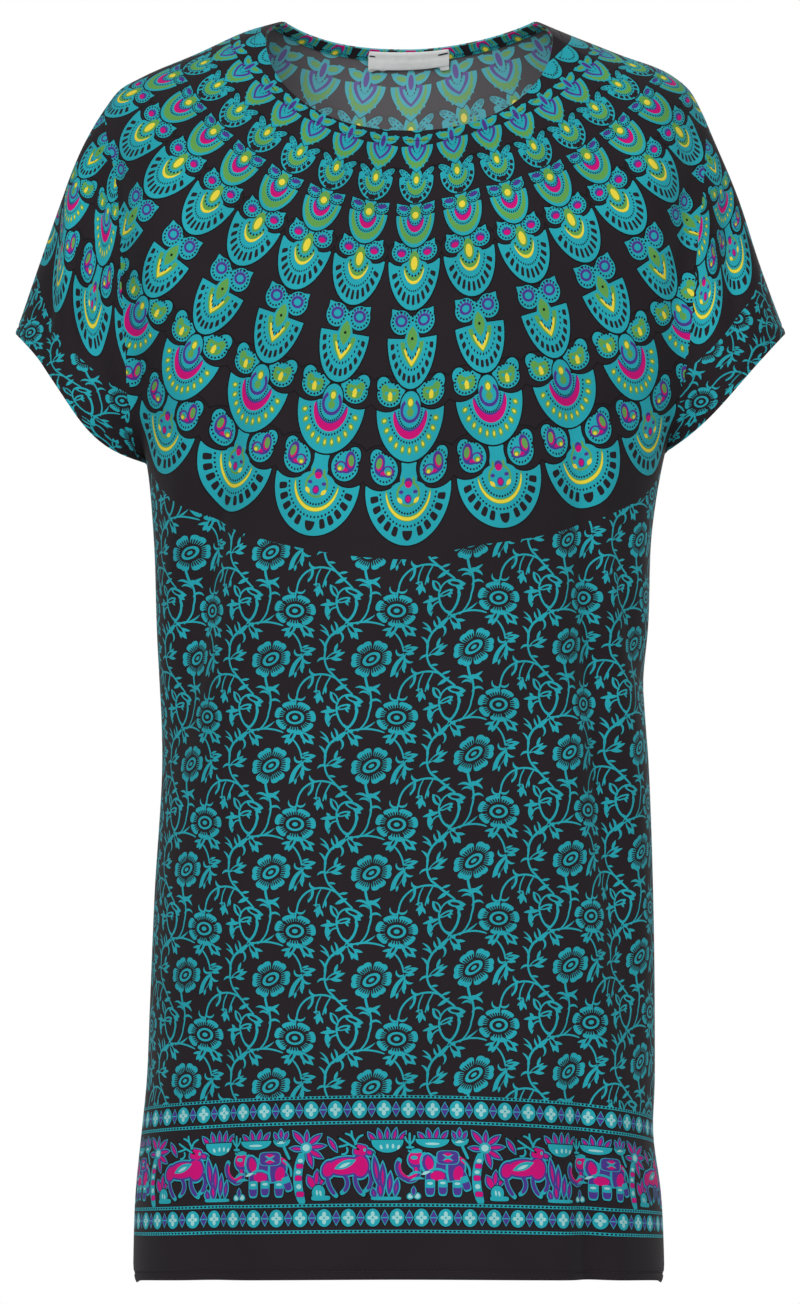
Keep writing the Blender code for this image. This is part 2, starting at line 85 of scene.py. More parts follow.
# Creases: a trough through three places (x, z). Lean raises a ridge on the centre's side,
# and sharp is the power of the profile: 2 is soft, 1 is a crisp nick.
creaseColumns = "x1 z1 x2 z2 x3 z3 width depth lean sharp"
creases = {
    "front": table(creaseColumns, [
        (-0.206, -0.060, -0.206, -0.170, -0.190, -0.285, 0.015, 0.011, 0.6, 1.5),
        (0.216, -0.060, 0.211, -0.155, 0.198, -0.258, 0.015, 0.011, 0.6, 1.5),
        (-0.218, -0.085, -0.225, -0.165, -0.222, -0.255, 0.010, 0.011, 0.8, 1.4),
        (-0.238, -0.120, -0.246, -0.190, -0.252, -0.262, 0.009, 0.006, -0.5, 1.6),
        (0.232, -0.090, 0.238, -0.165, 0.241, -0.255, 0.010, 0.008, 0.6, 1.5),
        (-0.110, -0.190, -0.139, -0.355, -0.168, -0.560, 0.015, 0.009, 0.9, 1.7),
        (0.126, -0.220, 0.139, -0.400, 0.172, -0.760, 0.014, 0.009, 0.9, 1.7),
        (0.153, -0.330, 0.160, -0.400, 0.172, -0.490, 0.010, 0.006, 0.4, 1.6),
        (0.124, -0.660, 0.140, -0.860, 0.146, -1.080, 0.013, 0.008, 0.7, 2.0),
        (-0.118, -0.600, -0.133, -0.820, -0.142, -1.060, 0.018, 0.006, 0.2, 2.0),
    ]),
    "back": table(creaseColumns, [
        (-0.210, -0.065, -0.203, -0.180, -0.190, -0.282, 0.016, 0.011, 0.5, 1.5),
        (0.214, -0.060, 0.208, -0.175, 0.196, -0.278, 0.015, 0.010, 0.6, 1.5),
        (-0.098, -0.180, -0.128, -0.370, -0.160, -0.590, 0.018, 0.009, 0.7, 1.8),
        (0.110, -0.210, 0.129, -0.420, 0.162, -0.690, 0.016, 0.008, 0.8, 1.8),
        (0.045, -0.500, 0.062, -0.800, 0.068, -1.120, 0.024, 0.008, 0.2, 2.0),
        (-0.060, -0.560, -0.068, -0.840, -0.060, -1.100, 0.022, 0.007, 0.2, 2.0),
    ]),
}
creaseRidge, creaseFade = 1.6, 0.012


def smooth(knots, values, at):
    # cubic curve through a table's rows
    order = np.argsort(knots)
    knots, values = knots[order], values[order]
    slopes = np.gradient(values, knots)
    at = np.clip(at, knots[0], knots[-1])
    cell = np.clip(np.searchsorted(knots, at) - 1, 0, len(knots) - 2)
    span = knots[cell + 1] - knots[cell]
    t = (at - knots[cell]) / span
    return ((1 + 2 * t) * (1 - t) ** 2 * values[cell] + t * (1 - t) ** 2 * span * slopes[cell]
            + t * t * (3 - 2 * t) * values[cell + 1] - t * t * (1 - t) * span * slopes[cell + 1])


def lengths(path):
    # distance along a path at each of its points
    return np.concatenate([[0], np.cumsum(np.linalg.norm(np.diff(path, axis=0), axis=1))])


def resample(path, fractions):
    # places on a path at fractions of its length
    run = lengths(path)
    return np.stack([np.interp(fractions * run[-1], run, path[:, k])
                     for k in range(path.shape[1])], axis=1)


def smoothPath(points, count):
    # the smooth curve through a few points, at even steps
    points = np.asarray(points, float)
    run = lengths(points)
    fine = np.linspace(0, run[-1], 8 * count)
    path = np.stack([smooth(run, points[:, k], fine) for k in range(points.shape[1])], axis=1)
    return resample(path, np.linspace(0, 1, count))


def nearest(points, path):
    # distance to a path, the side of it (+ or -), and how far along it, for each point
    start, step = path[:-1], np.diff(path, axis=0)
    offset = points[:, None, :] - start[None, :, :]
    share = np.clip((offset * step).sum(2) / (step * step).sum(1), 0, 1)
    gap = np.linalg.norm(offset - share[:, :, None] * step, axis=2)
    cell = gap.argmin(axis=1)
    row = np.arange(len(points))
    chosen = offset[row, cell]
    side = np.sign(step[cell, 0] * chosen[:, 1] - step[cell, 1] * chosen[:, 0])
    return gap[row, cell], side, (cell + share[row, cell]) / len(start)


def ease(share):
    # smooth step from 0 to 1
    share = np.clip(share, 0, 1)
    return share * share * (3 - 2 * share)


def rise(share):
    # quarter-round rise from 0 to 1
    return np.sqrt(np.maximum(0, 1 - (1 - np.clip(share, 0, 1)) ** 2))


def overarmPath(side):
    return smoothPath(np.stack([sides[side] * overarm[side], overarm["height"]], axis=1),
                      cut["overarmSteps"])


def underarm(side):
    height = cut["underarmHeight"][side]
    return np.array([sides[side] * smooth(body["height"], body[side], height), height])


def shoulderHeight(x):
    # outline of the shoulders over each x, arched across the open neck
    left, right = overarmPath("left"), overarmPath("right")
    outline = np.vstack([left[::-1], right])
    height = np.interp(x, outline[:, 0], outline[:, 1])
    reach = (x - cut["neckCentre"]) / (right[0, 0] - cut["neckCentre"])
    return height + cut["neckArch"] * np.maximum(0, 1 - reach ** 2)


def depth(points, face):
    # how far the cloth stands out at places (x, z) of the front view: the body's oval section,
    # the sleeves' half-round tubes and a little web above the underarms, blended
    x, z = points.T
    half = np.where(x < 0, smooth(body["height"], body["left"], z),
                    smooth(body["height"], body["right"], z))
    power, blend = cut["sectionPower"], cut["sleeveBlend"]
    oval = np.maximum(0, 1 - np.clip(np.abs(x) / half, 0, 1) ** power) ** (1 / power)
    trunk = (smooth(body["height"], body[face], z) * oval
             * rise((shoulderHeight(x) - z) / cut["shoulderDepth"]))
    total = trunk ** blend
    for side, sign in sides.items():
        path = overarmPath(side)
        line = np.vstack([path, path[-1] + 4 * (path[-1] - path[-len(path) // 6])])
        width = nearest(underarm(side)[None], line)[0][0]
        inward = nearest(points, line)[0] / width
        grown = ease((z - cut["shoulderToSleeve"][0]) / np.diff(cut["shoulderToSleeve"]))
        share = cut["shoulderShare"] + (1 - cut["shoulderShare"]) * grown
        tube = cut["sleeveSection"][face] * share * rise(2 * np.minimum(inward, 1 - inward))
        tube = tube * ease((sign * x - cut["sleeveTubeFrom"][0]) / np.diff(cut["sleeveTubeFrom"]))
        away = np.linalg.norm(points - underarm(side), axis=1)
        web = cut["underarmSection"] * rise(away / cut["underarmReach"])
        web = web * ease((z - cut["underarmHeight"][side]) / cut["underarmReach"])
        web = web * ease((cut["underarmFade"][1] - away) / np.diff(cut["underarmFade"]))
        total = total + tube ** blend + web ** blend
    return total ** (1 / blend)


def seamPlane(z):
    # the seams' y: a little behind the sides' plane towards the neck
    return cut["neckSeamY"] * ease(1 - z / cut["seamForwardHeight"])


def neckEdge(side, face, count):
    # the neck's oval from the shoulder seam to the centre
    start = np.radians(cut["neckSeamAngle"])
    backReach = (cut["neckBackY"] - cut["neckSeamY"]) / (1 - np.sin(start))
    middle = cut["neckBackY"] - backReach
    line = overarmPath(side)
    seam = abs(line[0, 0] - cut["neckCentre"])
    front = face == "front"
    angle = np.linspace(-start if front else start, np.pi / 2, cut["neckSteps"])
    out = cut["neckHalf"] * np.cos(angle) ** cut["neckSquareness"]
    if front:
        behind = np.clip(-angle / start, 0, 1)
        reach = np.where(angle < 0, backReach, middle - cut["neckFrontY"])
        y = middle - reach * np.sin(angle)
        wideDrop = cut["neckWideDrop"]
        shoulder = np.interp(out, np.abs(line[:, 0] - cut["neckCentre"]), line[:, 1])
        wide = shoulder - (shoulder + wideDrop) * (1 - behind) ** 2
        scoop = -wideDrop - (cut["frontNeckDrop"] - wideDrop) * np.sin(angle)
        z = np.where(angle < 0, wide, scoop)
    else:
        behind = np.clip(1 - (angle - start) / start, 0, 1)
        y = middle + backReach * np.sin(angle)
        z = -cut["backNeckDrop"] * (1 - (out / out[0]) ** cut["backNeckPower"][side])
    out = out + (seam - out[0]) * behind ** 2
    loop = np.stack([cut["neckCentre"] + sides[side] * out, y, z], axis=1)
    return resample(loop, np.linspace(0, 1, count))


def hemRow(side, face, share):
    # a level row of the body from the side seam to the centre: share runs from 0 at the underarm
    # to 1 at the border's top line and 2 at the hem
    angle = np.linspace(0, np.pi / 2, cut["bodyColumns"] + 1)
    under, low, band = cut["underarmHeight"][side], cut["sideHemHeight"], cut["bandHeight"]
    top = under + (cut["yokeHeight"] - under) * np.sin(angle) ** 2
    bottom = low + (cut["hemHeight"][face] - low) * np.sin(angle)
    line = band[side] + (band["centre"] - band[side]) * np.sin(angle)
    height = np.where(share < 1, top + share * (line - top), line + (share - 1) * (bottom - line))
    drop, inset = cut["cornerRound"]
    corner = np.clip(1 - (height - low) / drop, 0, 1) ** 2
    half = smooth(body["height"], body[side], height) - inset * corner
    return np.stack([sides[side] * half * np.cos(angle), height], axis=1)


def outerEdge(side, face):
    # the sleeve's hem from the overarm to the underarm, then the first level row
    start, end = overarmPath(side)[-1], underarm(side)
    share = (1 - np.cos(np.linspace(0, np.pi, cut["sleeveColumns"] + 1))) / 2
    along = end - start
    down = np.array([-sides[side] * along[1], sides[side] * along[0]]) / np.linalg.norm(along)
    bow = cut["sleeveHemBow"][side] - (cut["sleeveBackLift"] if face == "back" else 0)
    hem = start + share[:, None] * along + (bow * np.sin(np.pi * share ** 2))[:, None] * down
    return np.vstack([hem, hemRow(side, face, 0)[1:]])


def onCloth(points, face, atSeam):
    out = np.where(atSeam, 0, depth(points, face))
    return np.stack([points[:, 0], seamPlane(points[:, 1]) + faces[face] * out, points[:, 1]],
                    axis=1)


def insideOverarm(view, side):
    # the first columns kept inside the overarm line, where the patch would bulge past it
    path = overarmPath(side)
    step = np.diff(path, axis=0)
    gap, hand, along = nearest(view.reshape(-1, 2), path)
    cell = np.minimum((along * len(step)).astype(int), len(step) - 1)
    inwards = -sides[side] * np.stack([-step[cell, 1], step[cell, 0]], axis=1)
    inwards = inwards / np.linalg.norm(inwards, axis=1, keepdims=True)
    down = np.linspace(0, 1, view.shape[1])
    least = np.minimum(cut["columnGap"] * np.arange(len(view)) ** 2, cut["widestColumnGap"])
    ends = cut["columnGapEnds"]
    least = (least[:, None] * ease(ends * down) * ease(ends * (1 - down))).ravel()
    lack = np.maximum(0, least + sides[side] * hand * gap) * (least > 0)
    return view + (lack[:, None] * inwards).reshape(view.shape)


hemSteps = (0.0, 0.35, 0.75, 0.92, 1.08, 1.3, 2.0)  # rows by the hem, in hem widths from its edge
hemRelief = (0.0001, 0.0004, 0.0003, -0.0004, -0.0004, 0.0001, 0.0)  # turned hem and stitch line
stitchSteps = (4, 3)  # the rows on both sides of the stitch line


def halfPanel(side, face):
    # columns from the neck: a Coons patch of the front view down to the sleeve's hem and the
    # underarm's level, then level rows to the hem. Columns that end at the sleeve's hem are NaN below
    sleeve, count = cut["sleeveColumns"], cut["sleeveColumns"] + cut["bodyColumns"] + 1
    blend = ease(np.linspace(0, 1, count))[:, None, None]
    share = np.linspace(0, 1, cut["columnSteps"])
    down = share[None, :, None]
    loop = neckEdge(side, face, count)
    neck, outer = loop[:, None, [0, 2]], outerEdge(side, face)[:, None]
    seam = resample(overarmPath(side), share)[None]
    centre = neck[-1:] + down * (outer[-1:] - neck[-1:])
    corners = ((1 - blend) * ((1 - down) * seam[:, :1] + down * seam[:, -1:])
               + blend * ((1 - down) * centre[:, :1] + down * centre[:, -1:]))
    view = (1 - blend) * seam + blend * centre + (1 - down) * neck + down * outer - corners
    view = insideOverarm(view, side)
    atSeam = np.zeros(view.shape[:2], bool)
    atSeam[0] = True
    atSeam[sleeve, -1] = True
    cloth = onCloth(view.reshape(-1, 2), face, atSeam.ravel()).reshape(*view.shape[:2], 3)
    cloth[:, :, 1] += (loop[:, 1] - cloth[:, 0, 1])[:, None] * (1 - share) ** 3
    columns = []
    for path in cloth:
        first = cut["facingWidth"] / lengths(path)[-1]
        last = 1 - np.array(hemSteps[::-1]) * cut["hemWidth"] / lengths(path)[-1]
        stops = np.concatenate([np.linspace(0, first, cut["facingRows"], endpoint=False),
                                np.linspace(first, last[0], cut["yokeRows"] - len(last) + 2)[:-1],
                                last])
        columns.append(resample(path, stops))
    rows = []
    bandShare = 2 - np.array(hemSteps[::-1]) * cut["hemWidth"] / cut["bandDrop"]
    shares = np.concatenate([np.linspace(0, 1, cut["bodyRows"] + 1)[1:-1],
                             np.linspace(1, bandShare[0], cut["bandRows"] - len(hemSteps) + 2)[:-1],
                             bandShare])
    for share in shares:
        row = hemRow(side, face, share)
        rows.append(onCloth(row, face, np.arange(len(row)) == 0))
    below = np.full((sleeve, len(rows), 3), np.nan)
    return np.concatenate([columns, np.concatenate([below, np.transpose(rows, (1, 0, 2))])], axis=1)


def gridQuads(shape, whole):
    # a quad for each whole cell of a grid, its places numbered column by column
    number = np.arange(shape[0] * shape[1]).reshape(shape)
    cells = whole[:-1, :-1] & whole[1:, :-1] & whole[1:, 1:] & whole[:-1, 1:]
    return np.stack([block[cells] for block in
                     (number[:-1, :-1], number[1:, :-1], number[1:, 1:], number[:-1, 1:])], axis=1)


def unit(vectors):
    return vectors / np.maximum(np.linalg.norm(vectors, axis=1, keepdims=True), 1e-12)


def outwardNormals(places, quads):
    # vertex normals from the faces' diagonals, turned away from the middle plane
    across = unit(np.cross(places[quads[:, 2]] - places[quads[:, 0]],
                           places[quads[:, 3]] - places[quads[:, 1]]))
    normals = np.zeros_like(places)
    for k in range(4):
        np.add.at(normals, quads[:, k], across)
    normals = unit(normals)
    return normals * np.sign(np.nansum(places[:, 1] * normals[:, 1]))


def creasePush(places, rows):
    # in along each trough and out along its ridge, deepest at the middle of its length
    view = places[:, [0, 2]]
    push = np.zeros(len(view))
    for k in range(len(rows["x1"])):
        row = {name: column[k] for name, column in rows.items()}
        path = smoothPath([(row["x1"], row["z1"]), (row["x2"], row["z2"]),
                           (row["x3"], row["z3"])], 40)
        gap, side, along = nearest(view, path)
        inward = side * np.sign(row["x2"]) * gap / row["width"]
        profile = np.exp(-np.abs(inward) ** row["sharp"])
        ridge = 1 - creaseRidge * row["lean"] * inward
        push -= row["depth"] * np.sin(np.pi * along) * ridge * profile
    out = np.abs(places[:, 1] - seamPlane(places[:, 2]))
    return push * (1 - np.exp(-(out / creaseFade) ** 2))


# Flat pattern: where each place of the worn cloth lay on the printed length.
# Beyond the deep tuck beside each sleeve the print is the sleeve's own: turned and let out about
# a place of the shoulder, so that its columns hang down the arm as the cut cloth does.
flatPattern = {
    "step": 0.003, "across": (-0.30, 0.30), "upright": (-0.91, 0.025),
    "steepFrom": -0.235, "steepest": (0.2, 1.5),
    "tuck": {"left": ((-0.2130, -0.040), (-0.2075, -0.120), (-0.2045, -0.175), (-0.1950, -0.250),
                      (-0.1860, -0.3185)),
             "right": ((0.2180, -0.040), (0.2190, -0.120), (0.2130, -0.175), (0.2020, -0.250),
                       (0.1885, -0.3105))},
    "turn": {"left": ((2.143, 0.567, 0.332), (-1.159, 0.650, -0.350)),
             "right": ((2.090, -0.617, -0.308), (0.671, 0.780, -0.220))},
    "vineTurn": {"left": ((1.203, 0.188, 0.026), (-0.188, 1.203, 0.014)),
                 "right": ((1.134, -0.332, -0.008), (0.332, 1.134, -0.031))},
    "turnFrom": (-0.060, -0.160),
    "tuckSteps": 60, "tuckBelow": 0.004, "rightLift": 0.009, "rightLiftAt": 0.06, "bodyFade": 6,
}


def flatPlaces(view, face):
    # arc lengths along x and z over the cloth's depth give the flat u and v; the third number
    # is the distance beyond the tuck. The others move them on to the sleeve's fans and vine
    step = flatPattern["step"]
    first, last = flatPattern["across"]
    xs = np.arange(first, last + step, step)
    zs = np.arange(*flatPattern["upright"], step)
    gridX, gridZ = np.meshgrid(xs, zs)
    out = depth(np.stack([gridX.ravel(), gridZ.ravel()], axis=1), face).reshape(gridX.shape)
    middle, level = np.argmin(abs(xs)), np.argmin(abs(zs - cut["yokeHeight"]))
    u = np.pad(np.cumsum(np.hypot(step, np.diff(out, axis=1)), axis=1), ((0, 0), (1, 0)))
    steep = step * np.where(zs[1:, None] < flatPattern["steepFrom"], *flatPattern["steepest"])
    slope = np.clip(np.diff(out, axis=0), -steep, steep)
    v = np.pad(np.cumsum(np.hypot(step, slope), axis=0), ((1, 0), (0, 0)))
    u = u - u[:, [middle]]
    v = v - v[[level]] + zs[level]
    x, z = view.T
    across, up = (x - xs[0]) / step, (z - zs[0]) / step
    i = np.clip(across.astype(int), 0, len(xs) - 2)
    j = np.clip(up.astype(int), 0, len(zs) - 2)
    a, b = across - i, up - j
    flat = np.stack([(grid[j, i] * (1 - a) + grid[j, i + 1] * a) * (1 - b)
                     + (grid[j + 1, i] * (1 - a) + grid[j + 1, i + 1] * a) * b
                     for grid in (u, v)], axis=1)
    flat[:, 1] -= flatPattern["rightLift"] * ease(flat[:, 0] / flatPattern["rightLiftAt"])
    beyond = np.full(len(view), -1.0)
    moved = {title: np.zeros((len(view), 2)) for title in ("turn", "vineTurn")}
    for side, sign in sides.items():
        gap, hand, _ = nearest(view, smoothPath(flatPattern["tuck"][side], flatPattern["tuckSteps"]))
        mine = (sign * x > 0) & (z > flatPattern["tuck"][side][-1][1] - flatPattern["tuckBelow"])
        beyond = np.where(mine, sign * hand * gap, beyond)
        top, full = flatPattern["turnFrom"]
        faded = ease((z - top) / (full - top))[:, None]
        for title in moved:
            turn = np.array(flatPattern[title][side])
            shift = faded * (flat @ turn[:, :2].T + turn[:, 2] - flat)
            moved[title] = np.where(mine[:, None], shift, moved[title])
    return flat, beyond, moved["turn"], moved["vineTurn"]


def gridOf(sheet, title):
    # one of a sheet's arrays, column by column
    return sheet[title].reshape(*sheet["shape"], 3)


def aroundBody(sheet):
    # below the underarms: the true length along each row from the middle of the view
    grid = gridOf(sheet, "smooth")
    first, edge = cut["facingRows"] + cut["yokeRows"], cut["sleeveColumns"]
    around, share = np.zeros(sheet["shape"]), np.zeros(sheet["shape"])
    for row in range(first + 1, sheet["shape"][1]):
        line = grid[edge:-edge, row]
        run = lengths(line)
        around[edge:-edge, row] = run - np.interp(0, line[:, 0], run)
        share[edge:-edge, row] = min((row - first) / flatPattern["bodyFade"], 1)
    return around.ravel(), share.ravel()


# Print: block-print motifs in millimetres, each drawn from the shapes in its table, in the inks
# below on a dark ground. The dye soaks through, so the wrong side shows the same print, more pale
# and greyer; it is lifted further still as painted light, for the glow of light through the thin cloth.
def linear(hexColour):
    # sRGB hex to linear colour
    parts = [int(hexColour[k:k + 2], 16) / 255 for k in (1, 3, 5)]
    return [p / 12.92 if p <= 0.04045 else ((p + 0.055) / 1.055) ** 2.4 for p in parts] + [1.0]


inks = {name: linear(shade) for name, shade in {
    "ground": "#1f191e", "line": "#0c0a0d", "teal": "#1f9fac", "green": "#5c9a4a",
    "yellow": "#e3cf3e", "magenta": "#c2006f", "purple": "#473286", "pale": "#98cbcb",
}.items()}

